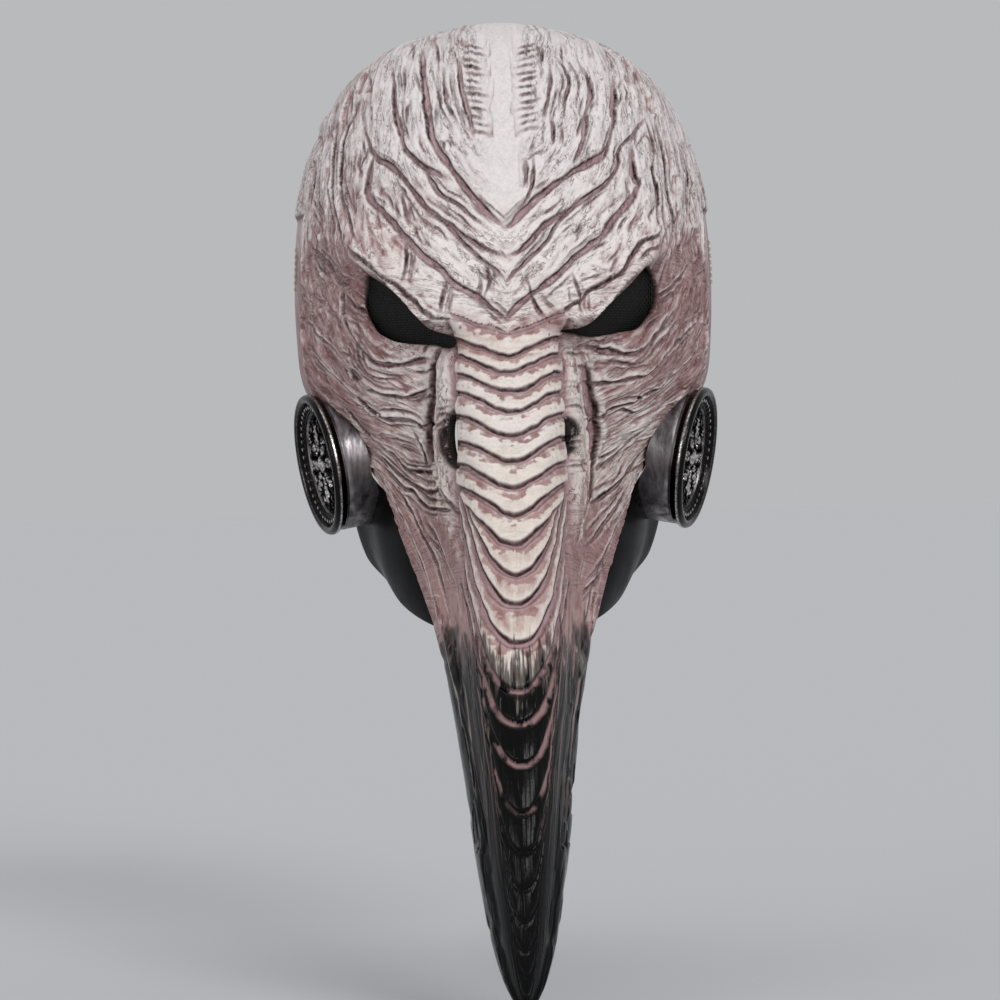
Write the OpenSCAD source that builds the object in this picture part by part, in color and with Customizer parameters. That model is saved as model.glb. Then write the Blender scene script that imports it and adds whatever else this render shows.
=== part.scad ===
// Beaked costume mask: a moulded half-head shell with a long curved beak, two round side
// discs, a swinging chin guard and an elastic harness.
// Frame: the wearer's head is round the origin, at the height of the ear canals.
// +Z is up, the beak points along -Y, and +X is to the right as seen from the front.

/* [Shell] */
// Wall thickness of the moulded shell
wall = 3; // [2.5:0.5:3.5]
// Half-width of the raised strip that runs down the beak
ridge_r = 32; // [28:1:34]
// Width of a breathing slot beside the strip
slot_w = 3; // [2:0.5:4]

/* [Side discs] */
// Radius of a disc's drum
drum_r = 28; // [26:0.5:29]
// Depth of a disc's drum
drum_h = 17; // [16:0.5:18]
// How far a disc turns to the front
disc_turn = 16; // [14:1:18]
// How far a disc leans down
disc_lean = 10; // [8:1:12]
// Raised leaves round an insert's boss
leaf_count = 8; // [6:1:12]

/* [Chin guard] */
// Wall thickness of the chin guard
guard_wall = 2.5; // [2:0.5:3]
// Radius of the pin that the guard swings on
pin_r = 2.5; // [2:0.5:3]

/* [Harness] */
// Width of the elastic
elastic_w = 25; // [20:1:27]
// Thickness of the elastic
elastic_t = 1.5; // [1:0.5:1.5]
// Thickness of the foam pads
pad_t = 7; // [5:1:9]

/* [Hidden] */

// Stations down the shell, from the crown to the beak's tip:
// height, half-width, y of the free edge, depth of the face, extra depth of the beak.
RAIL = [
    [140.5, 2, 10, 3, 0],
    [139, 12, 9, 17, 0],
    [135, 28, 8, 39, 0],
    [129, 45, 6, 54, 0],
    [120, 58, 4, 69, 0],
    [105, 70.5, 1, 84, 0],
    [85, 79, -2, 94, 0],
    [60, 85, -4, 100, 0],
    [35, 87, -5, 104, 0],
    [10, 86.5, -6, 104, 2],
    [-10, 84, -8, 92, 22],
    [-25, 75, -14, 83, 40],
    [-40, 62, -30, 66, 56],
    [-51, 53.5, -60, 46, 57],
    [-64, 46, -86, 35, 53],
    [-80, 39.5, -108, 34, 45],
    [-97, 33, -129, 36, 33],
    [-115, 28, -148, 41, 20],
    [-135, 24, -166, 42, 11],
    [-160, 20, -184, 38, 6],
    [-185, 16.5, -197, 34, 3],
    [-205, 13.5, -205, 30, 1],
    [-222, 10.5, -211, 25, 0],
    [-234, 7, -217, 17, 0],
    [-241, 3.6, -222, 9, 0],
    [-244, 1.2, -226, 3, 0],
];
tip_wall = 0.3;       // wall over half-width where the beak gets narrow
glue_gap = 0.2;
gap = 0.3;            // between a pad, mesh or strap end and the shell
underside_top = 16.2; // station where the beak's underside starts
underside_bulge = 0.42;

// Eye opening and breathing slot, right side, as seen from the front.
EYE = [[18.5, 4.5], [25, 7], [33, 9.5], [38.5, 15.5], [43, 22], [49, 27.5], [54, 30.5],
    [55, 17], [51, 10.5], [44, 4], [33, 1.5], [21, 0]];
SLOT = [[0, 0], [1, 4], [0.8, 14], [0, 20], [-0.7, 14], [-0.9, 4]];
slot_pos = [22, -46];
mesh_t = 0.8;
mesh_gap = 1;

// The middle of a drum's inner end.
disc_pos = [60.1, -32, -40];
// x and z of what lies inwards of a drum: the guard's arm below and the shell above.
BEHIND_DRUM = [[40, -90], [63.3, -90], [63.3, -50], [64.4, -44], [66.6, -40], [71.1, -34],
    [76.5, -26], [81.4, -18], [83.4, -12], [86.7, 6], [40, 6]];
behind_turn = 9.8; // how far the cheek turns inwards behind a drum
behind_pivot = -14; // where along the mask's depth that cheek profile is turned
bezel_h = 3.2;
bezel_r = drum_r + 1.3;
insert_r = 21.5;
recess_h = 4;
screw_r = 1.5;
screw_head_r = 3.2;
// The two screws that hold a drum: y, z, x under the head and x of the end.
SCREWS = [[-43, -42, 53.9, 68.5], [-50, -35, 55.7, 69]];

pivot = [-12, -46]; // y and z of the guard's pivot
pin_head_r = 5;
pin_clearance = 0.06;
pin_x = [57.7, 59.7, 71]; // head, shoulder and end of the pin
boss_r = 5;
boss_x = [63.5, 68]; // the boss that spaces a drum off the guard's arm

// Chin guard, from the arm to the middle of the chin: x, y, upper edge, lower edge.
GUARD = [
    [62.8, 3, -39, -56],
    [62.8, -4, -36, -70],
    [62.6, -16, -37.5, -82],
    [57, -32, -45, -91],
    [49, -57, -54, -101],
    [36, -82, -61, -108],
    [19, -99, -65, -112],
    [0, -105, -66, -113],
    [-19, -99, -65, -112],
];
guard_curl = 0.16;

strap_z = 38;                // height of the elastic's middle
strap_front = [80.6, -22];   // where it is sewn inside the shell
strap_back = [79, 48];       // where its straight side ends
strap_rear = 106;
slider_y = 20;
slider_l = 20;
slider_bar = 2.4;
slider_gap = 0.45;
crown_y = strap_rear + 0.3;   // where the crown's elastic lies on it
// y and z of the crown's elastic, from inside the shell to the middle of the back.
CROWN = [[-8, 132.6], [12, 133], [40, 126], [68, 108.5], [90, 82], [102, 62], [crown_y, 50],
    [crown_y, 27]];
stitch_r = 0.45;
stitch_gap = 0.6;
stitch_len = 2;
stitch_pitch = 2.7;

// Smooth curve through rows of numbers: t counts the rows.
function hermite(a, b, c, d, u) =
    0.5 * (2 * b + (c - a) * u + (2 * a - 5 * b + 4 * c - d) * u * u
        + (3 * b - a - 3 * c + d) * u * u * u);
function row(rows, i) = rows[max(0, min(len(rows) - 1, i))];
function along(rows, t) = let(i = max(0, min(len(rows) - 2, floor(t))))
    hermite(row(rows, i - 1), row(rows, i), row(rows, i + 1), row(rows, i + 2), t - i);

function bump(q) = q >= 1 ? 0 : pow(1 - pow(q, 4), 2);
function ridge_width(w) = ridge_r * w / pow(pow(w, 4) + pow(ridge_r, 4), 0.25);

// The shell's outer skin: v counts the stations, a is the angle from the middle of the face.
function skin(v, a) = let(r = along(RAIL, v), x = r[1] * sin(a))
    [x, r[2] - r[3] * cos(a) - r[4] * bump(abs(x) / ridge_width(r[1])), r[0]];
// The skin of the beak's underside, which closes the shell's open back.
function belly(v, a) = let(r = along(RAIL, v))
    [r[1] * sin(a), r[2] + glue_gap + underside_bulge * r[1] * cos(a), r[0]];
// The chin guard's skin: v counts rows of GUARD, h runs from its upper to its lower edge.
function guard_skin(v, h) =
    let(r = v <= 7 ? along(GUARD, v) : along(GUARD, 14 - v), side = v <= 7 ? 1 : -1,
        in = 1 - guard_curl * pow(h, 3) * min(1, v / 3, (14 - v) / 3))
    [side * r[0] * in, -14 + (r[1] + 14) * in, r[2] + (r[3] - r[2]) * h];

function unit(n) = n / norm(n);
// A point at a depth under the shell's skin.
function under(v, a, depth) =
    let(n = unit(cross(skin(v, a + 0.05) - skin(v, a - 0.05), skin(v + 0.01, a) - skin(v - 0.01, a))))
    skin(v, a) + n * depth;
function guard_under(v, h, depth) =
    let(n = unit(cross(guard_skin(v, h + 0.01) - guard_skin(v, h - 0.01),
        guard_skin(v + 0.01, h) - guard_skin(v - 0.01, h))))
    guard_skin(v, h) + n * depth;

// A closed sheet between two surfaces, over a range of their two parameters.
module sheet(v0, v1, nv, a0, a1, na, top, bottom) {
    vs = [for (i = [0:nv]) v0 + (v1 - v0) * i / nv];
    as = [for (j = [0:na]) a0 + (a1 - a0) * j / na];
    m = na + 1;
    half = (nv + 1) * m;
    points = concat([for (v = vs) for (a = as) top(v, a)], [for (v = vs) for (a = as) bottom(v, a)]);
    skins = [for (i = [0:nv - 1]) for (j = [0:na - 1])
        let(p = i * m + j, q = p + m) each [
            [p, q, p + 1], [q, q + 1, p + 1],
            [half + p, half + p + 1, half + q], [half + q, half + p + 1, half + q + 1]]];
    ends = [for (j = [0:na - 1]) let(p = j, q = nv * m + j) each [
        [p, p + 1, half + p], [p + 1, half + p + 1, half + p],
        [q, half + q, q + 1], [q + 1, half + q, half + q + 1]]];
    sides = [for (i = [0:nv - 1]) let(p = i * m, q = i * m + na) each [
        [p, half + p, p + m], [p + m, half + p, half + p + m],
        [q, q + m, half + q], [q + m, half + q + m, half + q]]];
    polyhedron(points, concat(skins, ends, sides));
}

function shell_depth(v) = v < 14 ? wall : min(wall, tip_wall * along(RAIL, v)[1]);

// A sheet that follows the inside of the shell, such as a pad.
module lining(v0, v1, nv, a0, a1, na, thickness, gap = gap) {
    sheet(v0, v1, nv, a0, a1, na, function(v, a) under(v, a, wall + gap),
        function(v, a) under(v, a, wall + gap + thickness));
}

// Both sides of the mask: children are drawn on +X and mirrored for the left.
module on_side(side) {
    if (side > 0) children();
    else mirror([1, 0, 0]) children();
}

// The disc's own frame: its axis is +Z, pointing outwards.
module disc_frame() {
    translate(disc_pos) rotate([0, 0, -disc_turn]) rotate([0, 90 + disc_lean, 0]) children();
}

module along_x(x0, x1, y, z, r) {
    translate([x0, y, z]) rotate([0, 90, 0]) cylinder(h = x1 - x0, r = r, $fn = 48);
}

module eye_cut() {
    translate([0, -20, 0]) rotate([90, 0, 0]) linear_extrude(150) polygon(EYE);
}

module slot_cut() {
    translate([slot_pos[0], -60, slot_pos[1]]) rotate([90, 0, 0])
        linear_extrude(140) polygon([for (p = SLOT) [p[0] * slot_w / 2, p[1]]]);
}

module face_shell() {
    color("antiquewhite") difference() {
        sheet(0, len(RAIL) - 1, 50, -90, 90, 36, function(v, a) skin(v, a),
            function(v, a) under(v, a, shell_depth(v)));
        for (side = [-1, 1]) on_side(side) {
            eye_cut();
            slot_cut();
            for (s = SCREWS) along_x(50, 90, s[0], s[1], screw_r + 0.3);
        }
    }
}

module beak_underside() {
    color("dimgray")
        sheet(underside_top, len(RAIL) - 1, 18, -90, 90, 12, function(v, a) belly(v, a),
            function(v, a) belly(v, a) + [0, shell_depth(v), 0]);
}

module eye_mesh(side) {
    color("black") on_side(side) lining(8, 9.7, 6, 9, 44, 8, mesh_t, mesh_gap);
}

module chin_guard() {
    color("black") difference() {
        sheet(0, 14, 34, 0, 1, 8, function(v, h) guard_skin(v, h),
            function(v, h) guard_under(v, h, guard_wall));
        for (side = [-1, 1]) on_side(side)
            along_x(50, 70, pivot[0], pivot[1], pin_r + pin_clearance);
    }
}

module disc_drum(side) {
    color("dimgray") on_side(side) difference() {
        union() {
            difference() {
                disc_frame() cylinder(h = drum_h, r = drum_r, $fn = 96);
                translate([0, behind_pivot, 0]) rotate([0, 0, -behind_turn])
                    translate([0, 70, 0]) rotate([90, 0, 0]) linear_extrude(160) polygon(BEHIND_DRUM);
            }
            along_x(boss_x[0], boss_x[1], pivot[0], pivot[1], boss_r);
        }
        disc_frame() translate([0, 0, drum_h - recess_h])
            cylinder(h = recess_h + 1, r = insert_r + 0.5, $fn = 96);
        for (s = SCREWS) along_x(55, s[3], s[0], s[1], screw_r);
        along_x(50, pin_x[2], pivot[0], pivot[1], pin_r);
    }
}

module disc_bezel(side) {
    round_r = 1.6;
    color("silver") on_side(side) disc_frame() translate([0, 0, drum_h])
        rotate_extrude($fn = 96) {
            translate([insert_r + 0.5, 0]) square([bezel_r - insert_r - 0.5 - round_r, bezel_h]);
            translate([insert_r + 0.5, 0]) square([bezel_r - insert_r - 0.5, bezel_h - round_r]);
            translate([bezel_r - round_r, bezel_h - round_r]) circle(r = round_r, $fn = 32);
        }
}

module disc_insert(side) {
    color("gray") on_side(side) disc_frame() translate([0, 0, drum_h - recess_h]) {
        cylinder(h = 2, r = insert_r, $fn = 96);
        cylinder(h = 5.5, r = 4.5, $fn = 48);
        for (i = [0:leaf_count - 1]) rotate([0, 0, 360 * i / leaf_count]) {
            translate([6, -1.5, 1]) cube([12, 3, 3]);
            rotate([0, 0, 180 / leaf_count]) translate([14.5, 0, 1]) cylinder(h = 3.5, r = 2.4, $fn = 32);
        }
    }
}

module disc_screws(side) {
    color("silver") on_side(side) for (s = SCREWS) {
        along_x(s[2] - 1, s[3], s[0], s[1], screw_r);
        along_x(s[2] - 1.8, s[2], s[0], s[1], screw_head_r);
    }
}

module pivot_pin(side) {
    color("silver") on_side(side) {
        along_x(pin_x[1] - 0.5, pin_x[2], pivot[0], pivot[1], pin_r);
        along_x(pin_x[0], pin_x[1], pivot[0], pivot[1], pin_head_r);
    }
}

module forehead_pad() {
    color("darkslategray") lining(5.9, 7.4, 5, -30, 30, 12, pad_t);
}

module temple_pad(side) {
    color("darkslategray") on_side(side) lining(6, 7.1, 4, 48, 74, 6, pad_t);
}

module cheek_pad(side) {
    color("darkslategray") on_side(side) lining(9.9, 10.8, 4, 36, 62, 6, pad_t);
}

// Half of the elastic's outer line, from the sewn end to the middle of the back.
function elastic_line() = concat([strap_front],
    [for (i = [0:14]) let(t = 90 * i / 14)
        [strap_back[0] * pow(cos(t), 0.9),
            strap_back[1] + (strap_rear - strap_back[1]) * pow(sin(t), 0.9)]]);
function left_of(p) = [-p[0], p[1]];
function reversed(list) = [for (i = [len(list) - 1:-1:0]) list[i]];
// A line moved sideways by d, to its left.
function shifted(line, d) = [for (i = [0:len(line) - 1])
    let(e = unit(row(line, i + 1) - row(line, i - 1))) line[i] + d * [-e[1], e[0]]];

module elastic_strip(line, thickness) {
    polygon(concat(line, reversed(shifted(line, thickness))));
}

module head_elastic() {
    half = elastic_line();
    line = concat(half, [for (i = [len(half) - 2:-1:0]) left_of(half[i])]);
    color("black") translate([0, 0, strap_z - elastic_w / 2]) linear_extrude(elastic_w)
        elastic_strip(line, elastic_t);
}

module crown_elastic() {
    line = [for (i = [0:28]) along(CROWN, i / 4)];
    color("black") rotate([90, 0, 90]) translate([0, 0, -elastic_w / 2]) linear_extrude(elastic_w)
        elastic_strip(line, elastic_t);
}

// The direction of the elastic's straight side, seen from above.
strap_dir = unit(strap_back - strap_front);
slider_pos = strap_front + strap_dir * (slider_y - strap_front[1]) / strap_dir[1];

module strap_slider(side) {
    reach = elastic_w / 2 + 1;
    outer = elastic_t + slider_gap + slider_bar;
    color("dimgray") on_side(side)
        translate([slider_pos[0], slider_pos[1], strap_z])
        rotate([0, 0, atan2(strap_dir[1], strap_dir[0])]) {
            for (k = [-1, 1]) {
                translate([k * (slider_l / 2 - 1.5) - 1.5, elastic_t + slider_gap, -reach])
                    cube([3, slider_bar, 2 * reach]);
                translate([-slider_l / 2, -slider_gap - slider_bar, k * (reach + 1.5) - 1.5])
                    cube([slider_l, outer + slider_gap + slider_bar, 3]);
            }
            translate([-2, -slider_gap - slider_bar, -reach]) cube([4, slider_bar, 2 * reach]);
        }
}

module side_stitching(side) {
    color("ivory") on_side(side) for (i = [-3:3]) {
        z = strap_z + i * stitch_pitch;
        v = 8 - (z - 35) / 25;
        s = skin(v, 81.5);
        translate([s[0] + stitch_r + 0.05, s[1], z - stitch_len / 2])
            cylinder(h = stitch_len, r = stitch_r, $fn = 16);
    }
}

module crown_stitching() {
    color("ivory") for (i = [-3:3]) {
        s = skin(1, i * stitch_pitch / 12 * 57);
        translate([s[0] - stitch_len / 2, s[1], s[2] + stitch_r + 0.25]) rotate([0, 90, 0])
            cylinder(h = stitch_len, r = stitch_r, $fn = 16);
    }
}

module back_stitching() {
    color("ivory") for (i = [-3:3]) for (k = [-1, 1])
        translate([i * stitch_pitch * 0.9 - stitch_len / 2,
                crown_y + elastic_t + stitch_gap + stitch_r, strap_z + k * 8])
            rotate([0, 90, 0]) cylinder(h = stitch_len, r = stitch_r, $fn = 16);
}

face_shell();
beak_underside();
eye_mesh(-1);  // eye_mesh_left
eye_mesh(1);  // eye_mesh_right
chin_guard();
disc_drum(-1);  // disc_drum_left
disc_drum(1);  // disc_drum_right
disc_bezel(-1);  // disc_bezel_left
disc_bezel(1);  // disc_bezel_right
disc_insert(-1);  // disc_insert_left
disc_insert(1);  // disc_insert_right
disc_screws(-1);  // disc_screws_left
disc_screws(1);  // disc_screws_right
pivot_pin(-1);  // pivot_pin_left
pivot_pin(1);  // pivot_pin_right
forehead_pad();
temple_pad(-1);  // temple_pad_left
temple_pad(1);  // temple_pad_right
cheek_pad(-1);  // cheek_pad_left
cheek_pad(1);  // cheek_pad_right
head_elastic();
crown_elastic();
strap_slider(-1);  // strap_slider_left
strap_slider(1);  // strap_slider_right
side_stitching(-1);  // side_stitching_left
side_stitching(1);  // side_stitching_right
crown_stitching();
back_stitching();
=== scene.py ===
"""A beaked costume mask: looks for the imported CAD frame.

Sizes are in millimetres in the shaping code and go to metres in mesh_piece().
The shell's shape is the same table of stations that the CAD uses, then sculpted.
"""

import math

import bmesh
import bpy
import numpy as np
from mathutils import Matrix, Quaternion, Vector


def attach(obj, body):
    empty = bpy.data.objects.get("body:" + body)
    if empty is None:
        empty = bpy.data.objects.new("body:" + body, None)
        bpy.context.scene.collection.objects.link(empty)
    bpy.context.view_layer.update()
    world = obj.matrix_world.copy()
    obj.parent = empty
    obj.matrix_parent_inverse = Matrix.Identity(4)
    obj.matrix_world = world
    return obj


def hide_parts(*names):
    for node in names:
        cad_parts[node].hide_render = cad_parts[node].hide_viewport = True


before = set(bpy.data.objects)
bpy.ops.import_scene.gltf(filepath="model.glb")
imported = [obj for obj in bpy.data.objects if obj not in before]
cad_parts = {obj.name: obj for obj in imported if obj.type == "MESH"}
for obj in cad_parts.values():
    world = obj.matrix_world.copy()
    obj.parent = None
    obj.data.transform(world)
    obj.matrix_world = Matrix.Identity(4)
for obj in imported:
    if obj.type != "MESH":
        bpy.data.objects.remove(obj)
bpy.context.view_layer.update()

# ---------------------------------------------------------------- the shell's stations
# height, half-width, y of the free edge, depth of the face, extra depth of the beak
RAIL = np.array([
    [140.5, 2, 10, 3, 0],
    [139, 12, 9, 17, 0],
    [135, 28, 8, 39, 0],
    [129, 45, 6, 54, 0],
    [120, 58, 4, 69, 0],
    [105, 70.5, 1, 84, 0],
    [85, 79, -2, 94, 0],
    [60, 85, -4, 100, 0],
    [35, 87, -5, 104, 0],
    [10, 86.5, -6, 104, 2],
    [-10, 84, -8, 92, 22],
    [-25, 75, -14, 83, 40],
    [-40, 62, -30, 66, 56],
    [-51, 53.5, -60, 46, 57],
    [-64, 46, -86, 35, 53],
    [-80, 39.5, -108, 34, 45],
    [-97, 33, -129, 36, 33],
    [-115, 28, -148, 41, 20],
    [-135, 24, -166, 42, 11],
    [-160, 20, -184, 38, 6],
    [-185, 16.5, -197, 34, 3],
    [-205, 13.5, -205, 30, 1],
    [-222, 10.5, -211, 25, 0],
    [-234, 7, -217, 17, 0],
    [-241, 3.6, -222, 9, 0],
    [-244, 1.2, -226, 3, 0],
])
WALL = 3.0
RIDGE_R = 32.0
UNDERSIDE_TOP = 16.2
# the elastic's middle height, and the pitch and place of the stitch rows that hold it
STRAP_Z = 38
STITCH_PITCH = 2.7
STITCH_ANGLE = math.radians(81.5)


def along(rows, t):
    """Catmull-Rom through rows of numbers: t counts the rows."""
    rows = np.asarray(rows, float)
    t = np.asarray(t, float)
    i = np.clip(np.floor(t).astype(int), 0, len(rows) - 2)
    u = (t - i)[..., None]
    a, b, c, d = (rows[np.clip(i + k, 0, len(rows) - 1)] for k in (-1, 0, 1, 2))
    return 0.5 * (2 * b + (c - a) * u + (2 * a - 5 * b + 4 * c - d) * u**2
                  + (3 * b - a - 3 * c + d) * u**3)


def curve(points, step=1.0):
    """A smooth line through a few points, sampled every step."""
    points = np.asarray(points, float)
    if len(points) == 2:
        n = max(2, int(np.linalg.norm(points[1] - points[0]) / step))
        return points[0] + (points[1] - points[0]) * np.linspace(0, 1, n + 1)[:, None]
    out = []
    for k in range(len(points) - 1):
        n = max(2, int(np.linalg.norm(points[k + 1] - points[k]) / step))
        out.append(along(points, k + np.arange(n) / n))
    return np.vstack(out + [points[-1:]])


def smooth(lo, hi, x):
    t = np.clip((x - lo) / (hi - lo), 0, 1)
    return t * t * (3 - 2 * t)


def gauss(x, w):
    return np.exp(-(x / w) ** 2)


def noise(u, v, seed=0):
    """Smooth value noise, -1 to 1, with a cell of 1."""
    lattice = np.random.default_rng(seed).uniform(-1, 1, (256, 256))
    iu, iv = np.floor(u).astype(int), np.floor(v).astype(int)
    fu, fv = u - iu, v - iv
    fu, fv = fu * fu * (3 - 2 * fu), fv * fv * (3 - 2 * fv)
    iu, iv = iu % 256, iv % 256
    ju, jv = (iu + 1) % 256, (iv + 1) % 256
    return ((lattice[iu, iv] * (1 - fu) + lattice[ju, iv] * fu) * (1 - fv)
            + (lattice[iu, jv] * (1 - fu) + lattice[ju, jv] * fu) * fv)


def fractal(u, v, octaves=3, seed=0):
    return sum(noise(u * 2**k, v * 2**k, seed + k) / 2**k for k in range(octaves)) / 1.6


def skin(v, a):
    """The CAD's outer skin: v counts the stations, a is the angle from the middle."""
    v, a = np.broadcast_arrays(v, a)
    r = along(RAIL, v)
    x = r[..., 1] * np.sin(a)
    w = np.maximum(r[..., 1], 0.1)
    ridge = RIDGE_R * w / (w**4 + RIDGE_R**4) ** 0.25
    q = np.minimum(np.abs(x) / ridge, 1)
    y = r[..., 2] - r[..., 3] * np.cos(a) - r[..., 4] * (1 - q**4) ** 2
    return np.stack([x, y, r[..., 0]], -1)


def grid_normals(p):
    du = np.gradient(p, axis=0)
    dv = np.gradient(p, axis=1)
    n = np.cross(du, dv)
    return n / np.maximum(np.linalg.norm(n, axis=-1, keepdims=True), 1e-9)


def signed_distance(x, z, outline):
    """Distance to a closed outline in the front view, negative inside, and the way out."""
    pts = np.stack([x.ravel(), z.ravel()], -1)
    best = np.full(len(pts), 1e9)
    way = np.zeros_like(pts)
    inside = np.zeros(len(pts), bool)
    for k in range(len(outline)):
        a, b = outline[k], outline[(k + 1) % len(outline)]
        e = b - a
        t = np.clip(((pts - a) @ e) / (e @ e), 0, 1)
        d = pts - (a + t[:, None] * e)
        dist = np.hypot(d[:, 0], d[:, 1])
        near = dist < best
        best[near] = dist[near]
        way[near] = d[near]
        crosses = (a[1] > pts[:, 1]) != (b[1] > pts[:, 1])
        with np.errstate(divide="ignore", invalid="ignore"):
            at = (b[0] - a[0]) * (pts[:, 1] - a[1]) / (b[1] - a[1]) + a[0]
        inside ^= crosses & (pts[:, 0] < at)
    sign = np.where(inside, -1, 1)
    way = way / np.maximum(best[:, None], 1e-9) * sign[:, None]
    return (best * sign).reshape(x.shape), way.reshape(x.shape + (2,))


def round_outline(outline):
    """A closed outline with its corners softened."""
    n = len(outline)
    wrapped = np.vstack([outline[-1:], outline, outline[:2]])
    line = np.vstack([along(wrapped, 1 + k + np.linspace(0, 1, 6, endpoint=False)) for k in range(n)])
    return line


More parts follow.
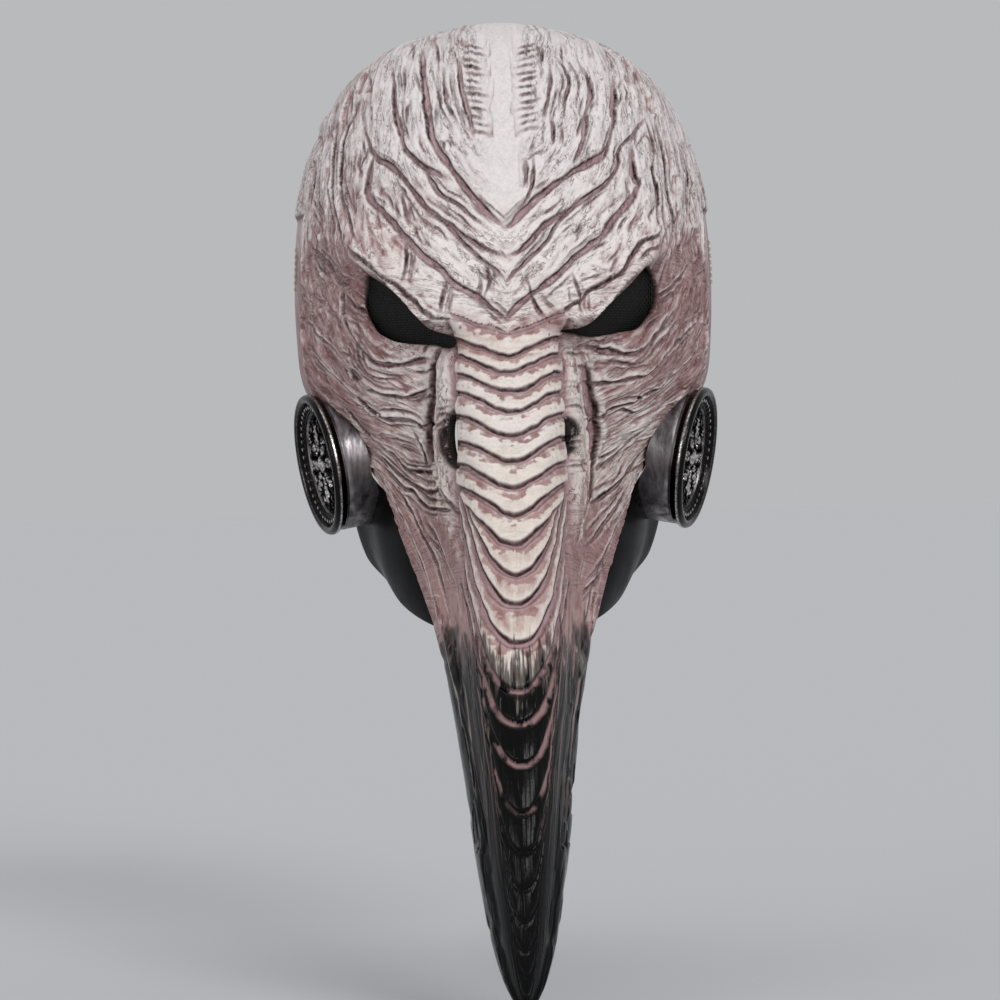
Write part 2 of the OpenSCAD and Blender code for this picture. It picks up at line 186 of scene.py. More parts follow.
# ---------------------------------------------------------------- the sculpted lines
# Each groove is (half-width, depth, points), as x and z seen from the front. The left and
# right sides differ, as a hand-sculpted mask's do.
GROOVES = [
    # crown and forehead, left
    (1.5, 1.1, [(-17, 119), (-15, 101), (-12, 86)]),
    (1.9, 1.3, [(-32, 126), (-31, 109), (-29, 93), (-27, 82), (-19, 70), (-11, 59), (-1, 49)]),
    (1.7, 1.2, [(-44, 116), (-43, 101), (-42, 91), (-40, 83), (-32, 74), (-23, 69)]),
    (1.3, 0.9, [(-32, 74), (-26, 63), (-19, 58), (-9, 50)]),
    (1.6, 1.2, [(-56, 93), (-52, 81), (-46, 76), (-40, 70), (-32, 59), (-23, 50), (-12, 42), (-1, 36)]),
    (1.9, 1.3, [(-52, 81), (-54, 71), (-54, 63), (-48, 56), (-39.5, 46), (-33, 38), (-26, 32),
                (-21.5, 27), (-11, 20), (-1, 12)]),
    (1.0, 0.8, [(-59, 101), (-63, 91), (-65, 79), (-65, 66), (-61, 52), (-57, 44)]),
    (1.2, 0.9, [(-67, 93), (-69, 79), (-69, 66), (-67, 55), (-63, 44)]),
    (1.0, 0.8, [(-76, 80), (-77, 66), (-74, 54)]),
    (0.9, 0.7, [(-23, 116), (-23, 107), (-22, 99), (-18, 90)]),
    (0.8, 0.6, [(-39, 118), (-39, 106)]),
    (0.9, 0.6, [(-41, 64), (-39, 52)]),
    (1.1, 0.9, [(-30, 55), (-23, 49), (-16.7, 42), (-9, 35), (-1, 27)]),
    (0.8, 0.6, [(-39.5, 45.5), (-39, 36), (-39, 27)]),
    (0.8, 0.7, [(-23, 30), (-24, 22), (-24.5, 14)]),
    (0.7, 0.5, [(-9, 36), (-7, 27), (-9, 20)]),
    # crown and forehead, right
    (1.2, 1.0, [(20, 116), (19, 103), (16, 93)]),
    (1.0, 0.8, [(23, 120), (27, 110), (26, 101), (25, 95)]),
    (1.9, 1.2, [(32, 117), (36, 105), (34, 95), (32, 84), (28, 73)]),
    (1.8, 1.4, [(46, 112), (45, 99), (44, 90), (39, 78), (27, 70), (13, 60), (3, 50), (-1, 48)]),
    (0.9, 0.8, [(20, 93), (20, 82)]),
    (1.2, 1.0, [(11, 76), (10, 63), (5, 54)]),
    (1.5, 1.2, [(58, 94), (52, 87), (46, 80), (45, 73), (38, 64), (27, 57), (17, 50), (7, 40), (-1, 36)]),
    (1.8, 1.3, [(52, 83), (52, 71), (54, 66), (48, 57), (42, 50), (37, 44), (28, 36), (19.6, 28.5),
                (7, 20), (-1, 12)]),
    (1.1, 0.9, [(58, 94), (61, 82), (60, 73), (62, 62), (60, 49)]),
    (1.2, 0.9, [(63, 92), (65, 79), (66, 66), (68, 53), (66, 44)]),
    (0.9, 0.8, [(49, 104), (46, 98)]),
    (1.0, 0.8, [(74, 82), (76, 68), (75, 54)]),
    (1.1, 0.9, [(30, 60), (22, 52), (15, 41), (2, 29), (-1, 27)]),
    (0.8, 0.7, [(7.5, 29), (10, 20), (15, 12), (19, 8)]),
    (0.8, 0.7, [(26, 30), (27, 22), (26.5, 13)]),
    # brow fold above each eyelid
    (0.85, 1.6, [(-60, 44), (-59, 41), (-51, 35), (-47, 30.5), (-39.5, 25), (-34, 19.5), (-29, 14.5),
                (-24.6, 12), (-19, 10.5), (-14, 10), (-2, 4.5)]),
    (0.8, 1.5, [(62, 50), (58, 45), (52, 42), (46, 36), (43, 30.5), (38, 26.5), (30, 22), (26.5, 18),
                (16, 12.5), (2, 4.5)]),
    # round the eyes and temples
    (0.9, 0.7, [(-79, 42), (-76, 37), (-72, 32)]),
    (1.1, 0.9, [(-79, 45), (-72, 38), (-67.5, 31), (-62, 27)]),
    (0.8, 0.7, [(-65, 25), (-60, 19), (-55, 16)]),
    (1.0, 0.8, [(77, 36), (72, 30), (68, 26.5), (59, 20)]),
    (0.8, 0.6, [(66, 44), (62, 34), (60, 27)]),
    # cheeks, left
    (1.4, 1.9, [(-66, 27), (-64, 13), (-55, 0), (-49, -3.2), (-39, -3.9), (-30, -3.3)]),
    (1.3, 1.7, [(-80, 14), (-75, 8), (-67, 1), (-57, -12), (-51, -15), (-41, -17.4), (-36, -16.8),
                (-30, -14)]),
    (1.2, 1.5, [(-78, 2), (-73, -4), (-65.5, -10.5), (-57, -19), (-51, -25), (-44.5, -26), (-37, -27),
                (-33, -30), (-29, -28)]),
    (1.0, 1.0, [(-72, -14), (-64, -22), (-56, -32), (-48, -39.5), (-42, -44.7), (-36, -46), (-28, -47)]),
    (1.0, 1.0, [(-58, -36), (-50, -43), (-43.5, -48), (-36, -53.5), (-31, -54.8), (-25.5, -54)]),
    (0.9, 0.9, [(-52, -44), (-44, -52), (-39, -55), (-34, -60.5), (-29, -62.3), (-23.5, -62.8)]),
    (0.8, 0.8, [(-38, -31), (-34, -38), (-33, -45)]),
    (0.7, 0.6, [(-60, 8), (-58, -2), (-52, -8), (-42, -9.5)]),
    (0.7, 0.6, [(-50, -33), (-44, -34), (-38, -36)]),
    # cheeks, right
    (1.3, 1.8, [(30, 0), (35, -0.5), (42, -2), (50, -1), (57, 4), (63, 10), (68, 17), (72, 26)]),
    (0.9, 0.8, [(39, -5), (50, -5), (55, -2), (62, 5), (70, 12)]),
    (1.3, 1.7, [(30, -13), (39, -13.2), (47.5, -10.5), (55, -8.6), (63, -1), (71, 6), (78, 12)]),
    (1.2, 1.5, [(33, -30), (38, -25), (43, -22.5), (50, -20.5), (54.5, -17), (60, -15.5),
                (68, -9), (76, -2)]),
    (0.8, 0.8, [(35, -30), (43, -24), (52, -24), (62, -17), (70, -11)]),
    (1.0, 1.0, [(33, -47.5), (43, -42), (54, -33), (64, -24)]),
    (0.7, 0.7, [(34, -43.5), (43, -40), (50, -34)]),
    (1.0, 1.0, [(30, -61), (38, -57), (45, -52), (54, -42), (62, -33)]),
    (0.9, 0.8, [(29, -78), (36, -69), (42.5, -61.5), (49, -53)]),
    (0.7, 0.6, [(25, -97), (32, -90), (38, -82)]),
    # the channel outside each nose roll
    (1.8, 2.6, [(-28, 1), (-29.5, -8), (-30, -20), (-31, -34), (-29.5, -46), (-26, -56), (-22, -64)]),
    (1.8, 2.6, [(31, -6), (31.5, -16), (33.5, -28), (33.5, -42), (31, -54), (28, -66), (24, -79)]),
    # long flutes that run down both sides of the beak
    (0.9, 0.9, [(-54, -48), (-43, -66), (-35, -84), (-29, -106), (-25, -126), (-20, -150), (-15, -184)]),
    (0.8, 0.8, [(-46, -52), (-37, -68), (-29, -86), (-24, -108), (-21, -130), (-17, -155), (-13, -186)]),
    (0.8, 0.7, [(-34, -66), (-27, -79), (-21.5, -97), (-19, -116), (-17.5, -134)]),
    (0.9, 0.9, [(54, -47), (44, -64), (36, -82), (30, -104), (26, -126), (21, -150), (16, -184)]),
    (0.8, 0.8, [(44, -66), (34, -84), (27, -104), (22.5, -128), (18.5, -152), (14, -184)]),
    (0.8, 0.7, [(28, -80), (24, -95), (20.5, -114), (18.5, -134)]),
]

# Heights of the lips of the overlapping plates, at the middle of the beak
PLATES = [8, -2, -9, -17, -25, -34.5, -44.6, -54.5, -64.6, -76, -87, -98, -112, -128.7, -141,
          -155.6, -172, -187, -200, -212, -222, -231, -239]


def plate_line(k, x):
    """A plate's lip: a rounded V that flattens at its ends on the nose and wraps the beak below."""
    z = PLATES[k]
    rise = np.interp(z, [-100, -76, -54, -34, -9, 8], [26, 17, 10.5, 10, 8.5, 6.5])
    t = np.clip(np.abs(x) / 21, 0, 1.3)
    brow = rise * (0.45 * smooth(0.02, 0.95, t) + 0.55 * (np.sqrt(0.03 + t * t) - 0.173))
    half = np.interp(z, [-240, -190, -144, -100], [5.0, 9.5, 14, 15])
    wrap = 23 * np.clip(np.abs(x) / half, 0, 3) ** 2.3
    low = smooth(-70, -100, np.float64(z))
    return z + brow * (1 - low) + wrap * low


def strip_edge(z):
    """Half-width of the strip of plates."""
    return np.interp(z, [-244, -222, -200, -160, -135, -112, -92, -75, -60, 12, 30],
                     [1, 9, 11.5, 15.5, 17.5, 17.5, 18.5, 20.5, 22, 21, 18])


class Relief:
    """Height in mm, and masks of wash, painted shade and painted highlight over the shell's grid, built up
    feature by feature.
    """

    def __init__(self, base, a):
        self.x, self.z = base[..., 0], base[..., 2]
        # distance round the shell from its middle, so that lines keep their width at the sides
        gaps = np.linalg.norm(np.diff(base, axis=1), axis=-1)
        self.u = np.concatenate([np.zeros((len(base), 1)), np.cumsum(gaps, axis=1)], axis=1)
        self.u -= np.stack([np.interp(0, a, row) for row in self.u])[:, None]
        self.a = a
        shape = self.x.shape
        self.h = np.zeros(shape)
        self.floor = np.zeros(shape)
        # line holds dark wash and painted shade along the grooves' edges; lip holds painted highlight on
        # their raised lips
        self.line = np.zeros(shape)
        self.lip = np.zeros(shape)
        self.near = np.full(shape, 30.0)
        # distance in mm from the nearest channel's edge, below 0 in the channel
        self.edge = np.full(shape, 9.0)
        # how strongly the nodes draw painted shade and painted highlight at the nearest channel's edge
        self.edge_shading = np.zeros(shape)
        # a hand's wobble on every line
        self.wu = self.u + 1.0 * fractal(self.u / 11, self.z / 11, 2, 11)
        self.wz = self.z + 1.0 * fractal(self.u / 11, self.z / 11, 2, 21)
        self.wu += 0.35 * fractal(self.u / 2.4, self.z / 2.4, 2, 13)
        self.wz += 0.35 * fractal(self.u / 2.4, self.z / 2.4, 2, 23)

    def unroll(self, line):
        """Front-view x and z of a line's points as distance round the shell and z."""
        heights = self.z[:, 0]
        i = np.interp(-line[:, 1], -heights, np.arange(len(heights)))
        lo = np.clip(i.astype(int), 0, len(heights) - 2)
        half = np.interp(i, np.arange(len(heights)), self.x[:, -1])
        angle = np.arcsin(np.clip(line[:, 0] / half, -1, 1))
        u = [(1 - t) * np.interp(g, self.a, self.u[k]) + t * np.interp(g, self.a, self.u[k + 1])
             for g, k, t in zip(angle, lo, i - lo)]
        return np.stack([u, line[:, 1]], -1)

    def groove(self, w, depth, points, weight=1.0):
        self.cut(w, depth, self.unroll(curve(points, max(0.8, w * 0.6))), weight)

    def cut(self, w, depth, line, weight=1.0):
        """A groove along an unrolled line, with a raised lip on each side."""
        reach = max(w * 4.5, 2.0)
        lo, hi = line.min(0) - reach, line.max(0) + reach
        pick = ((self.wu > lo[0]) & (self.wu < hi[0]) & (self.wz > lo[1]) & (self.wz < hi[1]))
        if not pick.any():
            return
        px, pz = self.wu[pick], self.wz[pick]
        best = np.full(len(px), 1e9)
        side = np.zeros(len(px))
        at = np.zeros(len(px))
        total = 0.0
        for a, b in zip(line[:-1], line[1:]):
            e = b - a
            size = math.hypot(e[0], e[1])
            t = np.clip(((px - a[0]) * e[0] + (pz - a[1]) * e[1]) / size**2, 0, 1)
            dx, dz = px - a[0] - t * e[0], pz - a[1] - t * e[1]
            d = np.hypot(dx, dz)
            closer = d < best
            best[closer] = d[closer]
            # the upper side, or the outer side of an upright groove
            up = dz + 0.25 * dx * np.sign(a[0] + 1e-6)
            side[closer] = np.sign(up[closer])
            at[closer] = total + t[closer] * size
            total += size
        end = min(9.0, total * 0.35)
        taper = np.clip(np.minimum(at + 0.3, total - at + 0.3) / end, 0.05, 1) ** 0.6
        uneven = 1 + 0.4 * noise(at / 6 + total, at * 0 + w * 9, 17)
        taper = taper * (0.8 + 0.2 * uneven)
        wide = w * (0.4 + 0.6 * taper) * uneven
        q = best / wide
        s = side * q
        trough = np.exp(-(q**6) * 0.6)
        h = -depth * taper * trough + 0.42 * depth * taper * gauss(s - 2.1, 0.9)
        h += 0.16 * depth * taper * gauss(s + 1.9, 0.75)
        # the flap above a large crease stands proud of the one below it
        h += 0.45 * depth * taper * side * np.exp(-best / (3 * w)) * (q > 1)
        edge = best - wide
        nearer = edge < self.edge[pick]
        self.edge[pick] = np.where(nearer, edge, self.edge[pick])
        # painted shade and painted highlight at a groove's edges are strongest on its upper side
        edge_shading = weight * taper * np.where(side > 0, 1.0, 0.5)
        self.edge_shading[pick] = np.where(nearer, edge_shading, self.edge_shading[pick])
        self.h[pick] += weight * h
        self.floor[pick] = np.maximum(self.floor[pick], weight * taper * np.exp(-((q / 0.95) ** 6)))
        # dark wash and painted shade at the channel's edges, darkest under the upper edge
        dark = gauss(s - 0.85, 0.38) + 0.55 * gauss(s + 0.95, 0.3)
        self.line[pick] = np.maximum(self.line[pick], weight * taper * np.minimum(dark, 1))
        # painted highlight on the raised lips
        self.lip[pick] = np.maximum(self.lip[pick], weight * taper * gauss(q - 1.75, 0.55))
        self.near[pick] = np.minimum(self.near[pick], np.maximum(best - w, 0))


def companions(relief, rng, points):
    """Finer creases that run beside a main one for part of its length."""
    line = relief.unroll(curve(points, 1.0))
    if len(line) < 12:
        return
    along_it = np.gradient(line, axis=0)
    along_it /= np.linalg.norm(along_it, axis=1, keepdims=True)
    across = np.stack([-along_it[:, 1], along_it[:, 0]], -1)
    for _ in range(3):
        first = rng.integers(0, len(line) - 8)
        last = min(len(line), first + rng.integers(7, 26))
        off = rng.choice([-1, 1]) * rng.uniform(1.7, 4.2)
        drift = np.linspace(off, off * rng.uniform(0.5, 1.5), last - first)
        part = line[first:last] + across[first:last] * drift[:, None]
        relief.cut(rng.uniform(0.26, 0.46), rng.uniform(0.3, 0.6), part, rng.uniform(0.5, 0.9))


def crown_flow(x, z):
    """Runs across the forehead's wrinkles: they drop from the crown and turn to the middle."""
    a, b = z - np.abs(x), (58 - np.abs(x)) / 0.52
    k = 10.0
    return -k * np.logaddexp(-a / k, -b / k)


def cheek_flow(x, z):
    """Runs across the cheek's wrinkles: level by the nose, rising to the temple."""
    bend = np.interp(z, [-110, -62, -47, -15, 60], [18, 33, 42, 51, 54])
    slope = np.interp(z, [-110, -60, -20, 40], [3.0, 1.7, 1.1, 1.2])
    return z - slope * 4 * np.logaddexp(0, (np.abs(x) - bend) / 4)


def scratches(relief, rng):
    """Short fine wrinkles that follow the flow of the larger ones."""
    for _ in range(260):
        x = rng.uniform(-82, 82)
        z = rng.uniform(-60, 130)
        if abs(x) < 9 and z > 45:
            continue
        flow = crown_flow if z > 14 + 0.3 * abs(x) else cheek_flow
        if flow is cheek_flow and abs(x) < 24:
            continue
        e = 0.5
        gx = flow(x + e, z) - flow(x - e, z)
        gz = flow(x, z + e) - flow(x, z - e)
        ang = math.atan2(gz, gx) + math.pi / 2 + rng.normal(0, 0.22)
        length = rng.uniform(3.5, 10)
        dx, dz = math.cos(ang) * length / 2, math.sin(ang) * length / 2
        bow = rng.normal(0, 0.5)
        relief.groove(rng.uniform(0.3, 0.55), rng.uniform(0.25, 0.55),
                      [(x - dx, z - dz), (x + bow, z + bow), (x + dx, z + dz)], rng.uniform(0.3, 0.9))
    # rows of short strokes beside the smooth middle of the crown
    for k in range(13):
        z = 125 - 3.1 * k
        for side in (-1, 1):
            x0 = side * rng.uniform(14, 16.5)
            x1 = side * rng.uniform(5.5, 8.5)
            relief.groove(rng.uniform(0.35, 0.6), 0.4, [(x0, z + rng.uniform(0.5, 1.6)), (x1, z - 1.5)],
                          rng.uniform(0.5, 1))


def sculpt(p):
    """Broad forms of the face: brows, sockets, cheekbones, nose."""
    x, z = np.abs(p[..., 0]), p[..., 2]
    front = smooth(-4, -30, p[..., 1])
    # the lid follows the eye's upper edge and hangs over it
    lid = np.interp(x, [16, 21, 33, 38.5, 43, 49, 56, 62, 70], [7, 8, 10.5, 16.5, 23, 29, 34, 38, 44])
    up = z - lid
    inner, outer = smooth(12, 22, x), 1 - smooth(54, 74, x)
    brow = gauss(up - 5.5, 9.0) * inner * outer
    lidroll = gauss(up - 3.0, 2.4) * smooth(17, 24, x) * (1 - smooth(50, 62, x))
    h = 5.4 * brow + 2.6 * lidroll
    # sockets under the brow
    floor = np.interp(x, [16, 21, 33, 44, 51, 55, 62], [2, 0, 1.5, 4, 10.5, 18, 26])
    down = np.interp(z - floor, [-30, -6, 0, 8], [0, 0.15, 1, 1])
    socket = down * smooth(16, 24, x) * (1 - smooth(56, 66, x)) * (1 - smooth(-0.5, 3.0, up))
    h -= 3.4 * socket
    # cheekbone and the hollow under it
    h += 2.4 * gauss(x - 52, 14) * gauss(z + 8 - 0.5 * (x - 52), 11)
    h -= 2.2 * gauss(x - 47, 11) * gauss(z + 46, 14)
    # frown between the brows and a shallow dome of the forehead's middle
    h -= 1.8 * gauss(x - 10, 6) * gauss(z - 16, 12)
    h += 1.2 * gauss(x, 12) * gauss(z - 80, 40)
    # temples
    h -= 1.6 * gauss(x - 74, 10) * gauss(z - 40, 18)
    return h * front


def plates(relief):
    """Overlapping plates down the middle of the beak."""
    x, z = relief.x, relief.z
    wx = x + 0.6 * fractal(x / 5, z / 5, 2, 31)
    wz = z + 1.1 * fractal(x / 7, z / 9, 2, 41) + 0.3 * fractal(x / 1.8, z / 2.2, 2, 43)
    strip = strip_edge(z)
    inside = 1 - smooth(strip - 0.8, strip + 0.8, np.abs(x) + 0.7 * noise(z / 4, x * 0, 51))
    # below the face the plates wrap the whole beak and only fade at its sides
    wide = smooth(-70, -110, z)
    half = np.maximum(np.interp(z, RAIL[::-1, 0], RAIL[::-1, 1]), 1)
    round_side = 1 - smooth(0.74, 0.9, np.abs(x) / half)
    inside = np.maximum(inside, wide * round_side)
    top = smooth(10, 3, z - 0.55 * np.abs(x))
    inside = inside * top
    h = np.zeros_like(x)
    band = np.zeros_like(x)
    chan = np.zeros_like(x)
    edge = np.full(x.shape, 9.0)
    edge_shading = np.zeros_like(x)
    dark = np.zeros_like(x)
    lip = np.zeros_like(x)
    for k in range(len(PLATES) - 1):
        hi, lo = plate_line(k, wx), plate_line(k + 1, wx)
        gap = np.maximum(hi - lo, 1.0)
        t = (hi - wz) / gap
        pick = (t >= 0) & (t < 1)
        tt = t[pick]
        # distances are measured square to the lip, which is steep on the beak's sides
        slope = (plate_line(k, wx[pick] + 0.3) - plate_line(k, wx[pick] - 0.3)) / 0.6
        gap[pick] /= np.hypot(1, slope)
        mm = tt * gap[pick]
        size = np.interp(PLATES[k], [-240, -200, -128, -60, 0], [0.7, 1.1, 1.8, 1.7, 1.3])
        room = np.minimum(gap[pick], 9)
        depth = size * np.clip(room / 7, 0.3, 1.2)
        wide_at = np.interp(PLATES[k], [-200, -141, -112, -87], [1.0, 1.8, 2.0, 1.7])
        channel = np.minimum(wide_at, np.interp(PLATES[k], [-112, -87], [0.42, 0.22]) * room)
        rise = smooth(channel * 0.75, channel * 1.25, mm)
        body = rise * (0.45 + 0.55 * np.sin(np.clip((tt - 0.1) / 0.9, 0, 1) * math.pi * 0.62))
        left = (1 - tt) * gap[pick]
        round_lip = np.sqrt(np.clip(1 - np.clip(1 - left / 1.1, 0, 1) ** 2, 0, 1))
        h[pick] = depth * (body * round_lip)
        chan[pick] = 1 - rise
        # dark wash and painted shade under each plate's lip and along the top of its channel
        dark[pick] = np.maximum(gauss(left, 0.55), gauss(mm, 0.5))
        dark[pick] = np.maximum(dark[pick], 0.45 * gauss(mm - channel * 1.1, 0.3))
        stop = np.minimum(0.6, 4.6 / gap[pick])
        torn = tt + 0.3 * fractal(wx[pick] / 3, wz[pick] / 2, 3, 61)
        band[pick] = rise * (1 - smooth(stop * 0.7, stop, torn))
        # near each plate's lower lip: its tan paint and its painted highlight
        lip[pick] = gauss(left - 1.6, 1.2)
        here = np.where(mm < channel, -np.minimum(mm, channel - mm), np.minimum(mm - channel, left))
        edge[pick] = here
        # painted shade and painted highlight drawn by the nodes: full near the lips, weak on the plate's body
        edge_shading[pick] = np.where((mm < channel * 0.6) | (left < channel), 1.0, 0.25)
    relief.h = relief.h * (1 - 0.8 * inside) + inside * (h - 0.5)
    relief.edge = np.where(inside > 0.5, edge, relief.edge)
    relief.edge_shading = np.where(inside > 0.5, edge_shading, relief.edge_shading)
    relief.floor = np.maximum(relief.floor * (1 - 0.7 * inside), inside * chan)
    relief.line = np.maximum(relief.line * (1 - 0.6 * inside), inside * dark)
    relief.lip = np.maximum(relief.lip * (1 - 0.6 * inside), inside * lip)
    # the deep furrow at the strip's edge
    deep = smooth(-98, -70, z) * smooth(14, 4, z)
    side = np.abs(x) - strip - 0.4 * noise(z / 6, z * 0, 71)
    relief.h -= 2.4 * deep * gauss(side - 0.4, 1.1)
    relief.line = np.maximum(relief.line, deep * gauss(side - 0.3, 0.6))
    relief.floor = np.maximum(relief.floor, deep * gauss(side - 0.4, 1.1))
    # and the rope-like roll outside it
    roll = smooth(-76, -56, z) * smooth(6, -4, z)
    relief.h += 1.9 * roll * gauss(side - 4.2, 2.6)
    strand = fractal((side + 0.8 * noise(z / 8, z * 0, 83)) / 0.9, z / 15, 2, 81)
    relief.h += 0.75 * roll * gauss(side - 4.2, 3.6) * strand
    relief.line = np.maximum(relief.line, 0.7 * roll * gauss(side - 4.2, 3.6) * smooth(-0.15, -0.5, strand))
    return inside, band


def wrinkle_noise(relief, inside):
    """Fine creasing along the flow, and the strain along the beak."""
    x, z = relief.wu, relief.wz
    above = smooth(8, 24, z - 0.25 * np.abs(relief.x))
    beak = smooth(-52, -88, z + 0.3 * np.abs(relief.x))
    cheek = np.clip(1 - above - beak, 0, 1)
    half = np.maximum(np.interp(z, RAIL[::-1, 0], RAIL[::-1, 1]), 1)
    roll = smooth(-80, -60, z) * smooth(8, -2, z) * (1 - smooth(6, 8, np.abs(np.abs(relief.x) - 26)))
    above, beak, cheek = above * (1 - roll), beak * (1 - roll), cheek * (1 - roll)
    flows = (
        (roll, relief.x / 1.5, z / 16, 121),
        (above, crown_flow(x, z) / 3.2, (z + 0.4 * np.abs(x)) / 17, 91),
        (cheek, cheek_flow(x, z) / 2.3, np.abs(x) / 15 + z / 60, 101),
        (beak, np.abs(relief.x) / half * 11, z / 26, 111),
    )
    fine, streak = np.zeros_like(x), np.zeros_like(x)
    flow = np.zeros(x.shape + (3,))
    side = np.sign(relief.x) * 40
    for weight, across, down, seed in flows:
        n = fractal(across, down + side, 3, seed)
        fine += weight * n
        streak += weight * fractal(across * 1.9 + side, down * 1.7, 3, seed + 5)
        flow += weight[..., None] * np.stack([across, down * 2.2, seed + 0 * x], -1)
    calm = 1 - 0.85 * smooth(14, 5, np.abs(relief.x)) * smooth(42, 60, relief.z)
    creased = (1 - 0.8 * inside) * calm
    ridged = 1 - np.abs(fine) * 2.6
    relief.h += creased * (0.6 * fine - 0.4 * smooth(0.45, 1.0, ridged))
    relief.line = np.maximum(relief.line, 0.55 * creased * smooth(0.72, 1.0, ridged)
                             * smooth(-0.1, 0.5, fractal(x / 19, z / 19, 2, 131)))
    return streak, calm, flow, creased


# ---------------------------------------------------------------- mesh and material helpers
def colour(red, green, blue):
    """A display colour, 0 to 255, as linear light."""
    c = np.array([red, green, blue]) / 255
    return np.where(c <= 0.04045, c / 12.92, ((c + 0.055) / 1.055) ** 2.4)


def mesh_piece(name, verts, faces, material, attributes=None, vectors=None):
    """A mesh object from points in mm, with per-point values, colours and vectors."""
    mesh = bpy.data.meshes.new(name)
    faces = faces if isinstance(faces, list) else faces.tolist()
    mesh.from_pydata(np.asarray(verts, float) * 0.001, [], faces)
    mesh.validate()
    for key, values in (attributes or {}).items():
        values = np.asarray(values, float)
        if values.ndim == 2:
            layer = mesh.attributes.new(key, "FLOAT_COLOR", "POINT")
            rgba = np.ones((len(values), 4))
            rgba[:, :3] = values
            layer.data.foreach_set("color", rgba.ravel())
        else:
            layer = mesh.attributes.new(key, "FLOAT", "POINT")
            layer.data.foreach_set("value", values)
    for key, values in (vectors or {}).items():
        layer = mesh.attributes.new(key, "FLOAT_VECTOR", "POINT")
        layer.data.foreach_set("vector", np.asarray(values, float).ravel())
    mesh.shade_smooth()
    mesh.materials.append(material)
    piece = bpy.data.objects.new(name, mesh)
    bpy.context.scene.collection.objects.link(piece)
    return piece


def hard_part(piece, node, body="mask"):
    """The CAD node that a piece stands for and the body it moves with."""
    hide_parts(node)
    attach(piece, body)


class Nodes:
    """A short way to write a material's nodes."""

    def __init__(self, name):
        self.material = bpy.data.materials.new(name)
        self.material.use_nodes = True
        self.tree = self.material.node_tree
        self.shader = self.tree.nodes["Principled BSDF"]

    def add(self, kind, **settings):
        node = self.tree.nodes.new(kind)
        for key, value in settings.items():
            if key in node.inputs:
                node.inputs[key].default_value = value
            else:
                setattr(node, key, value)
        return node

    def link(self, out, into):
        self.tree.links.new(out, into)

    def set(self, **values):
        for key, value in values.items():
            self.shader.inputs[key.replace("_", " ")].default_value = value

    def attribute(self, name):
        return self.add("ShaderNodeAttribute", attribute_name=name)

    def noise(self, scale, detail=3.0, rough=0.55, stretch=None, distort=0.0, vector=None):
        out = vector or self.add("ShaderNodeTexCoord").outputs["Object"]
        if stretch:
            mapping = self.add("ShaderNodeMapping")
            mapping.inputs["Scale"].default_value = stretch
            self.link(out, mapping.inputs["Vector"])
            out = mapping.outputs["Vector"]
        tex = self.add("ShaderNodeTexNoise")
        tex.inputs["Scale"].default_value = scale
        tex.inputs["Detail"].default_value = detail
        tex.inputs["Roughness"].default_value = rough
        tex.inputs["Distortion"].default_value = distort
        self.link(out, tex.inputs["Vector"])
        return tex.outputs["Fac"]

    def range(self, value, lo, hi, to_lo, to_hi):
        node = self.add("ShaderNodeMapRange")
        for k, v in zip(("From Min", "From Max", "To Min", "To Max"), (lo, hi, to_lo, to_hi)):
            node.inputs[k].default_value = v
        self.link(value, node.inputs["Value"])
        return node.outputs["Result"]

    def math(self, op, a, b):
        node = self.add("ShaderNodeMath", operation=op)
        for k, v in enumerate((a, b)):
            if isinstance(v, (int, float)):
                node.inputs[k].default_value = v
            else:
                self.link(v, node.inputs[k])
        return node.outputs[0]

    def mix(self, factor, a, b, blend="MIX"):
        node = self.add("ShaderNodeMix", data_type="RGBA", blend_type=blend)
        for socket, v in zip((node.inputs[0], node.inputs[6], node.inputs[7]), (factor, a, b)):
            if isinstance(v, (int, float)):
                socket.default_value = v
            elif isinstance(v, (tuple, list, np.ndarray)):
                socket.default_value = (*v, 1)
            else:
                self.link(v, socket)
        return node.outputs[2]

    def bump(self, *heights):
        """Bumps laid over one another: (height, strength, distance in metres)."""
        last = None
        for height, strength, distance in heights:
            node = self.add("ShaderNodeBump")
            node.inputs["Strength"].default_value = strength
            node.inputs["Distance"].default_value = distance
            self.link(height, node.inputs["Height"])
            if last:
                self.link(last.outputs["Normal"], node.inputs["Normal"])
            last = node
        self.link(last.outputs["Normal"], self.shader.inputs["Normal"])


